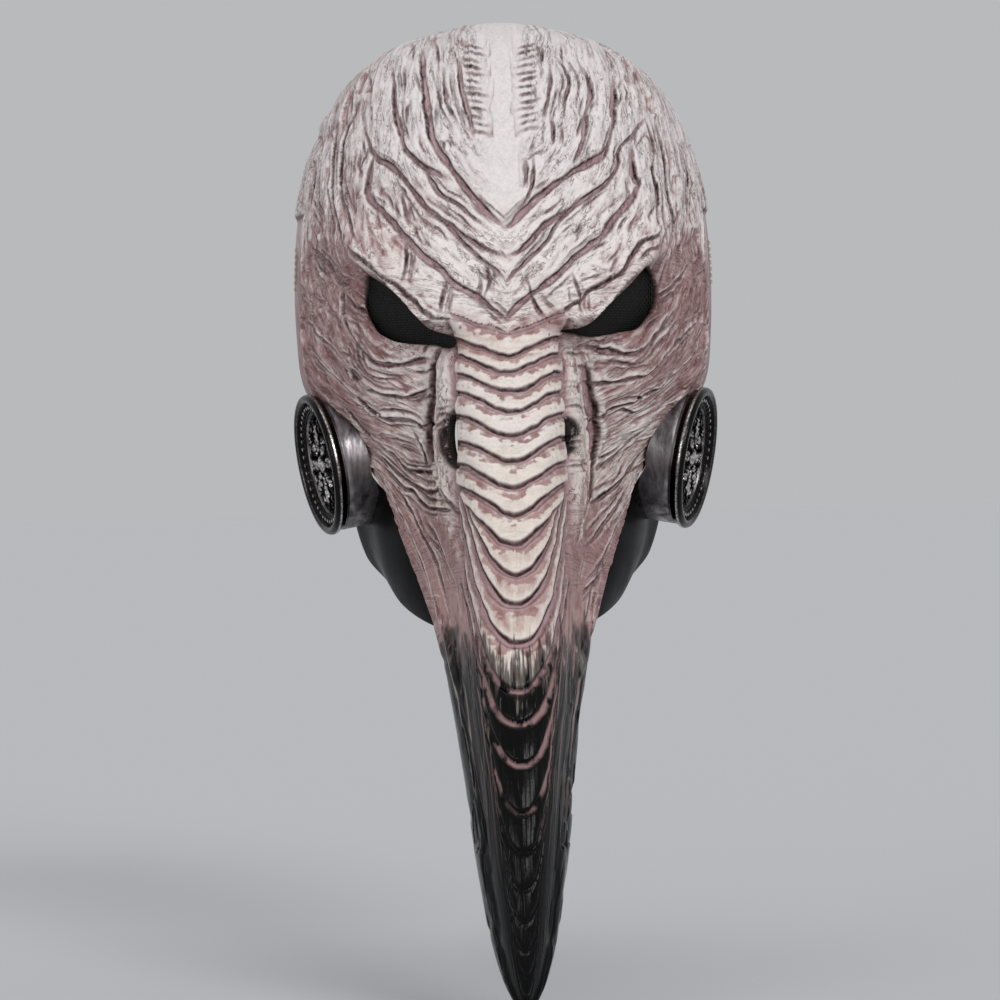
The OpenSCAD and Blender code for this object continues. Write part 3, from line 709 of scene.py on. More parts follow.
def shell_material():
    """Hand-painted moulding: broad paint is on the points, crisp lines are drawn by the nodes, among them
    painted shade and painted highlights at the channels' edges.
    """
    m = Nodes("painted_shell")
    paint = m.attribute("paint").outputs["Color"]
    gloss = m.attribute("gloss").outputs["Fac"]
    edge = m.attribute("edge").outputs["Fac"]
    edge_shading = m.attribute("edge_shading").outputs["Fac"]
    creased = m.attribute("creased").outputs["Fac"]
    flow = m.attribute("flow").outputs["Vector"]
    matt = m.range(gloss, 0.0, 0.6, 1.0, 0.0)

    blotch = m.range(m.noise(700, 5, 0.6), 0.3, 0.7, 0.9, 1.06)
    tint = m.add("ShaderNodeCombineColor")
    for k in range(3):
        m.link(blotch, tint.inputs[k])
    base = m.mix(1.0, paint, tint.outputs[0], "MULTIPLY")

    # fine brushed creases along the flow, in broken runs
    hatch = None
    for scale, width, lo, hi in ((1.6, 0.045, 0.46, 0.60), (3.1, 0.06, 0.50, 0.64)):
        wave = m.noise(scale, 3, 0.55, distort=0.5, vector=flow)
        thin = m.range(m.math("ABSOLUTE", m.math("SUBTRACT", wave, 0.5), 0.0), width * 0.35, width, 1.0, 0.0)
        runs = m.range(m.noise(scale * 0.35, 2, 0.5, vector=flow), lo, hi, 0.0, 1.0)
        part = m.math("MULTIPLY", thin, runs)
        hatch = part if hatch is None else m.math("MAXIMUM", hatch, part)
    hatch = m.math("MULTIPLY", m.math("MULTIPLY", hatch, creased), matt)
    base = m.mix(m.math("MULTIPLY", hatch, 0.75), base, colour(88, 52, 50))
    # painted highlights: pale streaks broken along the flow
    wave = m.noise(2.2, 4, 0.6, distort=0.3, vector=flow)
    white = m.math("MULTIPLY", m.range(wave, 0.56, 0.70, 0.0, 0.45), m.math("MULTIPLY", creased, matt))
    base = m.mix(white, base, colour(238, 230, 228))

    # the channels: a thin dark line of wash and painted shade at each edge, and a pale lip of painted
    # highlight outside it
    lively = m.range(m.noise(260, 3, 0.6), 0.35, 0.6, 0.55, 1.0)
    line = m.range(m.math("ABSOLUTE", m.math("ADD", edge, 0.15), 0.0), 0.18, 0.60, 1.0, 0.0)
    line = m.math("MULTIPLY", m.math("MULTIPLY", line, edge_shading), m.math("MULTIPLY", lively, matt))
    lip = m.range(m.math("ABSOLUTE", m.math("SUBTRACT", edge, 0.85), 0.0), 0.15, 0.6, 0.5, 0.0)
    lip = m.math("MULTIPLY", m.math("MULTIPLY", lip, edge_shading), m.math("MULTIPLY", lively, matt))
    base = m.mix(lip, base, colour(240, 232, 230))
    base = m.mix(m.math("MULTIPLY", line, 0.95), base, colour(40, 20, 21))

    speck = m.range(m.noise(2600, 2, 0.5), 0.63, 0.70, 0.0, 0.35)
    base = m.mix(m.math("MULTIPLY", speck, matt), base, colour(120, 86, 80))
    m.link(base, m.shader.inputs["Base Color"])
    rough = m.range(gloss, 0.0, 1.0, 0.46, 0.2)
    wear = m.range(m.noise(500, 4, 0.6), 0.3, 0.7, -0.07, 0.09)
    m.link(m.math("ADD", rough, wear), m.shader.inputs["Roughness"])
    m.set(Specular_IOR_Level=0.14)
    groove = m.math("ADD", m.math("MULTIPLY", hatch, -1.0), m.math("MULTIPLY", line, -1.0))
    m.bump((m.noise(1500, 4, 0.6), 0.08, 0.0005), (groove, 0.5, 0.0003))
    return m.material


# ---------------------------------------------------------------- the shell
EYES = {
    1: np.array([[20.5, 7], [28.4, 8.2], [34, 11], [40.7, 17.7], [49.8, 26.2], [55.5, 32.4], [58.3, 32],
                 [60.8, 26], [60.8, 20], [58, 13.8], [52.4, 8.4], [44.4, 6.6], [32.8, 4.2], [26.5, 5]]),
    -1: np.array([[-21, 5.2], [-30.7, 9], [-36.7, 14.6], [-40.7, 19.8], [-46.7, 25.8], [-51.5, 29.5],
                  [-55.6, 31.4], [-56.4, 24], [-55.9, 17.4], [-52.3, 9.8], [-48, 6.4], [-42.7, 4.2],
                  [-30.7, 2.4], [-22, 1]]),
}
SLOTS = {
    -1: np.array([[-21.6, -23], [-23.7, -27], [-24.4, -33], [-23.7, -40], [-21.6, -46], [-20.7, -40],
                  [-20.7, -30]]),
    1: np.array([[22.2, -27.5], [23.6, -31], [23.8, -36], [22.2, -41], [21.2, -37], [21.2, -31]]),
}


def blur(field, passes):
    for _ in range(passes):
        for axis in (0, 1):
            pad = np.pad(field, [(1, 1) if k == axis else (0, 0) for k in (0, 1)], mode="edge")
            lo = np.take(pad, range(0, field.shape[axis]), axis)
            hi = np.take(pad, range(2, field.shape[axis] + 2), axis)
            field = 0.5 * field + 0.25 * (lo + hi)
    return field


def stations(n):
    """Stations spaced along the shell, closer over the plates."""
    v = np.linspace(0, len(RAIL) - 1, 6000)
    mid, side = skin(v, 0 * v), skin(v, 0 * v + 1.2)
    step = (np.linalg.norm(np.diff(mid, axis=0), axis=1)
            + 0.5 * np.linalg.norm(np.diff(side, axis=0), axis=1))
    step = step * np.interp(mid[1:, 2], [-240, -160, -100, 10, 45, 140], [0.9, 1.2, 1.5, 1.5, 1.1, 0.8])
    total = np.concatenate([[0], np.cumsum(step)])
    return np.interp(np.linspace(0, total[-1], n), total, v)


def paint_shell(relief, streak, calm, inside, band):
    """The wash, lines, painted shade and painted highlights, and black tip, as colours and gloss on the
    points.
    """
    x, z, h = relief.x, relief.z, relief.h
    ax = np.abs(x)
    hollow = np.clip((blur(h, 24) - h) / 0.7, 0, 1)
    proud = np.clip((h - blur(h, 24)) / 0.7, 0, 1)
    patch = fractal(relief.u / 24, z / 30, 4, 201)
    fine = fractal(relief.u / 3.1, z / 4.3, 4, 211)
    # how much stain each region holds
    stain = np.interp(ax, [0, 12, 30, 50, 66, 80], [0.04, 0.16, 0.24, 0.34, 0.52, 0.6])
    stain = stain + 0.34 * gauss(z + 12, 44) * smooth(20, 40, ax) - 0.08 * smooth(60, 100, z)
    stain += 0.28 * gauss(ax - 66, 13) * gauss(z - 34, 20)
    stain -= 0.22 * smooth(6, 40, x) * smooth(24, 60, z)
    stain += 0.22 * smooth(14, 8, np.abs(z - 4)) * smooth(24, 12, ax)
    stain += 0.6 * smooth(-40, -80, z) * smooth(17, 24, ax + 0.1 * (z + 60))
    stain += 0.2 * gauss(ax - 27, 5) * smooth(-70, -50, z) * smooth(4, -4, z)
    stain = stain + 0.36 * patch + 0.34 * streak * calm + 0.2 * fine + 0.55 * hollow - 0.4 * proud
    stain = stain + band * inside * (0.8 + 0.7 * fine) + 0.5 * inside * smooth(-50, -95, z)
    stain *= 1 - 0.4 * inside * (1 - band) * (1 - relief.floor)
    centre = np.interp(z, [-130, -112, -98, -80, -60], [10.5, 13, 15.5, 19, 22])
    stain += (0.6 + 0.4 * streak) * smooth(-60, -84, z) * smooth(0.86, 1.06, ax / centre)
    stain += 0.12 * inside
    stain = smooth(0.16, 0.86, stain)

    cream, cool = colour(238, 230, 226), colour(226, 220, 222)
    warm, mauve = colour(222, 208, 190), colour(158, 118, 118)
    rust_and_shade, crease_wash_and_shade = colour(124, 78, 72), colour(52, 28, 28)
    grey, pink = colour(184, 154, 158), colour(158, 124, 124)

    def blend(base, over, amount):
        amount = np.clip(amount, 0, 1)[..., None]
        return base * (1 - amount) + over * amount

    rgb = np.broadcast_to(cream, x.shape + (3,)).copy()
    rgb = blend(rgb, cool, smooth(30, 90, z) * 0.7)
    rgb = blend(rgb, warm, 0.55 * smooth(40, -90, z) + 0.25 * patch)
    rgb = blend(rgb, colour(206, 188, 160), 0.4 * relief.lip * inside + 0.2 * smooth(0.1, 0.6, fine) * inside)
    rgb = blend(rgb, mauve, 0.85 * stain)
    rgb = blend(rgb, rust_and_shade, 0.5 * smooth(0.6, 1.0, stain) * smooth(-0.1, 0.6, fine))
    temple = smooth(52, 72, ax) * smooth(95, 60, z)
    rgb = blend(rgb, colour(96, 62, 60), 0.7 * smooth(0.15, 0.55, streak) * temple)
    rgb = blend(rgb, grey, 0.85 * relief.floor)
    # painted highlight on the raised lips beside the grooves
    rgb = blend(rgb, cream, 0.5 * relief.lip * (1 - relief.floor) * (1 - 0.5 * stain))
    # rust-toned dark wash and painted shade along the grooves' lines
    rgb = blend(rgb, rust_and_shade, 0.3 * blur(relief.line, 2))
    # dark wash and painted shade round the eyes, deepest under the brow and at the inner corners, with a
    # wider rust-toned band outside
    for side in (1, -1):
        pick = (x * side > 8) & (ax < 78) & (z > -14) & (z < 48)
        away = signed_distance(x[pick], z[pick], round_outline(EYES[side]))[0]
        away = away + 1.2 * fractal(x[pick] / 4, z[pick] / 4, 2, 261)
        under_brow = smooth(34, 18, ax[pick])
        shade = np.zeros_like(x)
        shade[pick] = np.exp(-np.maximum(away, 0) / 1.7) * (0.55 + 0.45 * under_brow)
        rgb = blend(rgb, colour(30, 15, 15), 0.95 * shade)
        shade[pick] = np.exp(-np.maximum(away, 0) / 5) * 0.5
        rgb = blend(rgb, rust_and_shade, shade)
        # the rolled lid catches the light above that
        roll = gauss(z[pick] - np.interp(ax[pick], [16, 21, 33, 38.5, 43, 49, 56, 62],
                                         [10.5, 12, 14.5, 20.5, 27, 33, 38, 42]), 1.5)
        shade[pick] = roll * smooth(18, 24, ax[pick]) * (1 - smooth(50, 60, ax[pick]))
        rgb = blend(rgb, cream, 0.75 * shade)
    # dark wash and painted shade at the plates' lips and channels
    rgb = blend(rgb, crease_wash_and_shade, 0.5 * relief.line * inside)
    # painted shade round the breathing slots, darkest at their outline
    for side in (1, -1):
        pick = (x * side > 14) & (ax < 32) & (z > -54) & (z < -14)
        away = signed_distance(x[pick], z[pick], round_outline(SLOTS[side]))[0]
        shade = np.zeros_like(x)
        shade[pick] = 1 - smooth(0.3, 1.7, away)
        rgb = blend(rgb, colour(14, 8, 8), shade)

    # the black tip starts as dry-brushed streaks, and reaches the channels last
    ragged = 13 * fractal(x / 0.8, z / 8, 3, 221) + 4 * fractal(x / 5, z / 16, 2, 231)
    start = z + ragged + 11 * gauss(x, 9)
    body = smooth(-104, -112, start) * (0.82 + 0.18 * smooth(-114, -122, start))
    floors = smooth(-150, -186, z + 7 * fractal(x / 4, z / 9, 2, 241))
    half = np.maximum(np.interp(z, RAIL[::-1, 0], RAIL[::-1, 1]), 1)
    # long thin flutes stay pale down the sides of the beak
    across = ax / half + 0.035 * fractal(z / 16, np.sign(x) * 7, 2, 271) + 0.004 * np.sign(x)
    flutes = np.zeros_like(x)
    for n, c in enumerate((0.5, 0.6, 0.7, 0.8, 0.9)):
        drift = c + 0.02 * noise(z / 23, np.sign(x) * 3 + n * 5, 281)
        broken = smooth(-0.35, 0.05, noise(z / 15 + 7 * n, np.sign(x) * 5 + n, 291))
        thin = gauss((across - drift) * half, 0.2)
        fade = np.interp(z, [-195, -160, -140, -112], [0, 0.3, 0.6, 0.8])
        flutes = np.maximum(flutes, thin * broken * fade)
    legs = np.clip(relief.floor, 0, 1) * (1 - floors) * smooth(-0.6, 0.1, fine + patch)
    legs = np.maximum(legs, flutes)
    black = body * (1 - legs)
    scratch = smooth(0.5, 0.7, fractal(x / 0.7, z / 5, 3, 251)) * smooth(-150, -112, z)
    black *= 1 - 0.3 * scratch
    rgb = blend(rgb, pink, body * legs * 0.85)
    rgb = blend(rgb, colour(4, 4, 5), black)
    gloss = np.clip(black + 0.35 * smooth(-110, -140, z), 0, 1)
    return rgb, gloss


def cut_and_rim(p, n, outlines):
    """Quads of the outer sheet outside the outlines, with the edge snapped to them."""
    rows, cols = p.shape[:2]
    sd = np.full((rows, cols), 99.0)
    way = np.zeros((rows, cols, 2))
    for outline in outlines:
        lo, hi = outline.min(0) - 4, outline.max(0) + 4
        pick = ((p[..., 0] > lo[0]) & (p[..., 0] < hi[0]) & (p[..., 2] > lo[1]) & (p[..., 2] < hi[1]))
        d, w = signed_distance(p[..., 0][pick], p[..., 2][pick], round_outline(outline))
        closer = d < sd[pick]
        part, part_way = sd[pick], way[pick]
        part[closer], part_way[closer] = d[closer], w[closer]
        sd[pick], way[pick] = part, part_way
    inside = sd < 0
    corner = (inside[:-1, :-1].astype(int) + inside[1:, :-1] + inside[:-1, 1:] + inside[1:, 1:])
    keep = corner <= 1
    used = np.zeros((rows, cols), bool)
    used[:-1, :-1] |= keep
    used[1:, :-1] |= keep
    used[:-1, 1:] |= keep
    used[1:, 1:] |= keep
    lost = ~keep
    touch = np.zeros((rows, cols), bool)
    touch[:-1, :-1] |= lost
    touch[1:, :-1] |= lost
    touch[:-1, 1:] |= lost
    touch[1:, 1:] |= lost
    snap = used & touch & (np.abs(sd) < 2.0)
    move = -sd[snap][:, None] * way[snap]
    ny = np.where(np.abs(n[snap][:, 1]) < 0.2, -0.2, n[snap][:, 1])
    p = p.copy()
    p[snap] += np.stack([move[:, 0], -(n[snap][:, 0] * move[:, 0] + n[snap][:, 2] * move[:, 1]) / ny,
                         move[:, 1]], -1)
    return p, keep, sd


def grid_faces(rows, cols, keep=None):
    i, j = np.meshgrid(np.arange(rows - 1), np.arange(cols - 1), indexing="ij")
    q = np.stack([i * cols + j, i * cols + j + 1, (i + 1) * cols + j + 1, (i + 1) * cols + j], -1)
    return q[keep] if keep is not None else q.reshape(-1, 4)


def shell_piece():
    rows, cols = 760, 500
    v = stations(rows)
    t = np.linspace(-1, 1, cols)
    a = math.pi / 2 * (0.72 * t + 0.28 * t**3)
    base = skin(v[:, None], a[None, :])
    n0 = grid_normals(base)
    p = base + n0 * sculpt(base)[..., None]
    n1 = grid_normals(p)
    relief = Relief(base, a)
    rng = np.random.default_rng(5)
    for w, depth, points in GROOVES:
        relief.groove(0.62 * w, 0.9 * depth, points)
        companions(relief, rng, points)
    scratches(relief, rng)
    relief.h += 1.5 * (1 - np.exp(-relief.near / 4.5))
    inside, band = plates(relief)
    streak, calm, flow, creased = wrinkle_noise(relief, inside)
    # everything dies out at the free edge, so that the rim stays even
    rim = smooth(math.pi / 2, math.pi / 2 - 0.05, np.abs(a))[None, :]
    relief.h *= 0.25 + 0.75 * rim
    # a flat strip down each side, where the elastic is sewn on
    turn = np.degrees(np.abs(a))[None, :]
    height = smooth(60, 58, relief.z) * smooth(-50, -44, relief.z)
    strip = smooth(71.6, 72.8, turn) * height
    relief.h = relief.h * (1 - strip) + 0.5 * gauss(turn - 70.8, 1.0) * height
    notch = gauss(relief.z - 59.5, 0.7) * smooth(71, 74, turn)
    relief.h -= 0.8 * notch
    creased = creased * (1 - strip)
    rgb, gloss = paint_shell(relief, streak, calm, inside, band)
    over = (0.45 * strip)[..., None]
    rgb = rgb * (1 - over) + colour(150, 128, 130) * over
    over = np.clip(0.85 * notch + 0.8 * gauss(turn - 72.9, 0.7) * height, 0, 1)[..., None]
    rgb = rgb * (1 - over) + colour(48, 34, 34) * over
    p = p + n1 * relief.h[..., None]
    n2 = grid_normals(p)
    outlines = [EYES[1], EYES[-1], SLOTS[1], SLOTS[-1]]
    p, keep, sd = cut_and_rim(p, n2, outlines)
    faces = grid_faces(rows, cols, keep)
    # the rim: every edge with one face gets a wall inwards
    flat = p.reshape(-1, 3)
    edges = np.vstack([faces[:, [0, 1]], faces[:, [1, 2]], faces[:, [2, 3]], faces[:, [3, 0]]])
    key = np.sort(edges, 1)
    order = key[:, 0].astype(np.int64) * flat.shape[0] + key[:, 1]
    _, index, count = np.unique(order, return_index=True, return_counts=True)
    border = edges[index[count == 1]]
    ring = np.unique(border)
    half = np.interp(flat[ring, 2], RAIL[::-1, 0], RAIL[::-1, 1])
    depth = np.minimum(WALL, 0.3 * half + 0.2)
    wall = flat[ring] - blur_normals(n1).reshape(-1, 3)[ring] * depth[:, None]
    where = np.full(flat.shape[0], -1)
    where[ring] = flat.shape[0] + np.arange(len(ring))
    walls = np.stack([border[:, 1], border[:, 0], where[border[:, 0]], where[border[:, 1]]], -1)
    # the inner skin, on every fourth line of the same grid
    step_r, step_c = 4, 4
    ri = np.unique(np.append(np.arange(0, rows, step_r), rows - 1))
    ci = np.unique(np.append(np.arange(0, cols, step_c), cols - 1))
    half = np.interp(base[..., 2], RAIL[::-1, 0], RAIL[::-1, 1])
    lining = (base + n0 * np.minimum(sculpt(base), 0)[..., None]
              - n0 * np.minimum(WALL, 0.3 * half + 0.2)[..., None])[np.ix_(ri, ci)]
    near = sd.copy()
    for axis in (0, 1):
        for shift in (-3, -2, -1, 1, 2, 3):
            near = np.minimum(near, np.roll(sd, shift, axis))
    open_in = near[np.ix_(ri, ci)] < 0.4
    shut = ~(open_in[:-1, :-1] | open_in[1:, :-1] | open_in[:-1, 1:] | open_in[1:, 1:])
    inner = grid_faces(len(ri), len(ci), shut)[:, ::-1]
    verts = np.vstack([flat, wall, lining.reshape(-1, 3)])
    all_faces = np.vstack([faces, walls, inner + flat.shape[0] + len(ring)])[:, ::-1]
    dark = colour(30, 27, 27)
    paint = np.vstack([rgb.reshape(-1, 3), rgb.reshape(-1, 3)[ring] * 0.08,
                       np.broadcast_to(dark, (lining.shape[0] * lining.shape[1], 3))])
    inner_count = lining.shape[0] * lining.shape[1]
    shine = np.concatenate([gloss.ravel(), gloss.ravel()[ring], np.zeros(inner_count)])
    rest = len(ring) + inner_count
    edge = np.concatenate([relief.edge.ravel(), np.full(rest, 9.0)])
    edge_shading = np.concatenate([relief.edge_shading.ravel(), np.zeros(rest)])
    fresh = np.concatenate([creased.ravel(), np.zeros(rest)])
    flow = np.vstack([flow.reshape(-1, 3), np.zeros((rest, 3))])
    used, again = np.unique(all_faces, return_inverse=True)
    piece = mesh_piece("shell_moulding", verts[used], again.reshape(all_faces.shape), shell_material(),
                       {"paint": paint[used], "gloss": shine[used], "edge": edge[used], "edge_shading": edge_shading[used],
                        "creased": fresh[used]}, {"flow": flow[used]})
    hard_part(piece, "face_shell")


def blur_normals(n):
    n = np.stack([blur(n[..., k], 6) for k in range(3)], -1)
    return n / np.linalg.norm(n, axis=-1, keepdims=True)


# ---------------------------------------------------------------- small hard parts
def bevelled(node, name, material, width, body):
    """A CAD node's shape with its sharp edges rounded, as a piece of its own."""
    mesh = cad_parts[node].data.copy()
    work = bmesh.new()
    work.from_mesh(mesh)
    bmesh.ops.remove_doubles(work, verts=work.verts, dist=2e-5)
    bmesh.ops.dissolve_limit(work, angle_limit=math.radians(1), verts=work.verts, edges=work.edges)
    work.to_mesh(mesh)
    work.free()
    mesh.materials.clear()
    mesh.materials.append(material)
    piece = bpy.data.objects.new(name, mesh)
    bpy.context.scene.collection.objects.link(piece)
    bevel = piece.modifiers.new("bevel", "BEVEL")
    bevel.width = width
    bevel.segments = 3
    bevel.limit_method = "ANGLE"
    bevel.angle_limit = math.radians(32)
    mesh.shade_smooth()
    sharp = piece.modifiers.new("weights", "WEIGHTED_NORMAL")
    sharp.keep_sharp = True
    hard_part(piece, node, body)


DISC_ORIGIN = np.array([60.1, -32.0, -40.0])
DRUM_R, DRUM_H, RECESS_FLOOR = 28.0, 17.0, 13.0
GUARD = np.array([[62.8, 3, -39, -56], [62.8, -4, -36, -70], [62.6, -16, -37.5, -82],
                  [57, -32, -45, -91], [49, -57, -54, -101], [36, -82, -61, -108],
                  [19, -99, -65, -112], [0, -105, -66, -113], [-19, -99, -65, -112]])
PIVOT = (-12.0, -46.0)


def disc_place(side, points):
    """From a disc's own frame, with its axis outwards along z, to the mask's frame."""
    turn, lean = math.radians(-16), math.radians(100)
    rz = np.array([[math.cos(turn), -math.sin(turn), 0], [math.sin(turn), math.cos(turn), 0], [0, 0, 1]])
    ry = np.array([[math.cos(lean), 0, math.sin(lean)], [0, 1, 0], [-math.sin(lean), 0, math.cos(lean)]])
    out = DISC_ORIGIN + np.asarray(points, float) @ (rz @ ry).T
    return out * np.array([side, 1, 1])


def revolve(profile, segments, close=True):
    """Points and faces of a closed profile (radius, height) turned about z."""
    profile = np.asarray(profile, float)
    t = np.linspace(0, 2 * math.pi, segments, endpoint=False)
    r, h = profile[:, 0], profile[:, 1]
    verts = np.stack([r[None] * np.cos(t)[:, None], r[None] * np.sin(t)[:, None],
                      np.broadcast_to(h, (segments, len(h)))], -1)
    n = len(profile)
    i, j = np.meshgrid(np.arange(segments), np.arange(n if close else n - 1), indexing="ij")
    k, m = (i + 1) % segments, (j + 1) % n
    faces = np.stack([i * n + j, k * n + j, k * n + m, i * n + m], -1).reshape(-1, 4)
    return verts.reshape(-1, 3), faces


def guard_skin(v, h):
    v, h = np.broadcast_arrays(np.asarray(v, float), np.asarray(h, float))
    r = along(GUARD, np.minimum(v, 14 - v))
    side = np.where(v <= 7, 1, -1)
    curl = 1 - 0.16 * h**3 * np.clip(np.minimum(v, 14 - v) / 3, 0, 1)
    return np.stack([side * r[..., 0] * curl, -14 + (r[..., 1] + 14) * curl,
                     r[..., 2] + (r[..., 3] - r[..., 2]) * h], -1)


def keep_out(p):
    """The least x that a drum may reach inwards to at a point: the shell and the guard."""
    y, z = p[:, 1], p[:, 2]
    rows = [np.interp(z, RAIL[::-1, 0], RAIL[::-1, k]) for k in range(4)]
    c = (rows[2] - y) / rows[3]
    shell = np.where(c < 1, rows[1] * np.sqrt(np.clip(1 - np.clip(c, 0, 1) ** 2, 0, 1)), 0)
    least = shell - 0.6
    arm = GUARD[:7]
    for angle in (0, 8, 17, 25):
        t = math.radians(angle)
        dy, dz = y - PIVOT[0], z - PIVOT[1]
        ry, rz = dy * math.cos(t) + dz * math.sin(t), -dy * math.sin(t) + dz * math.cos(t)
        gy, gz = ry + PIVOT[0], rz + PIVOT[1]
        gx = np.interp(gy, arm[::-1, 1], arm[::-1, 0])
        within = (gz < np.interp(gy, arm[::-1, 1], arm[::-1, 2]) + 3) & (gy < 7)
        least = np.where(within, np.maximum(least, gx + 0.8), least)
    return least


def metal(name, base, dark, rough, scale, stretch, streak, metallic=1.0):
    """Brushed metal: streaks one way, with grime in patches."""
    m = Nodes(name)
    brush = m.noise(scale, 4, 0.65, stretch)
    grime = m.noise(90, 4, 0.6)
    tone = m.range(brush, 0.3, 0.7, 0.0, 1.0)
    m.link(m.mix(m.math("MULTIPLY", tone, m.range(grime, 0.3, 0.62, 0.45, 1.0)), dark, base),
           m.shader.inputs["Base Color"])
    m.link(m.math("ADD", m.range(brush, 0.3, 0.7, rough + 0.08, rough - 0.08),
                  m.range(grime, 0.35, 0.7, 0.14, -0.02)), m.shader.inputs["Roughness"])
    m.set(Metallic=metallic)
    m.bump((brush, streak, 0.0004), (m.noise(700, 3), 0.12, 0.0004))
    return m.material


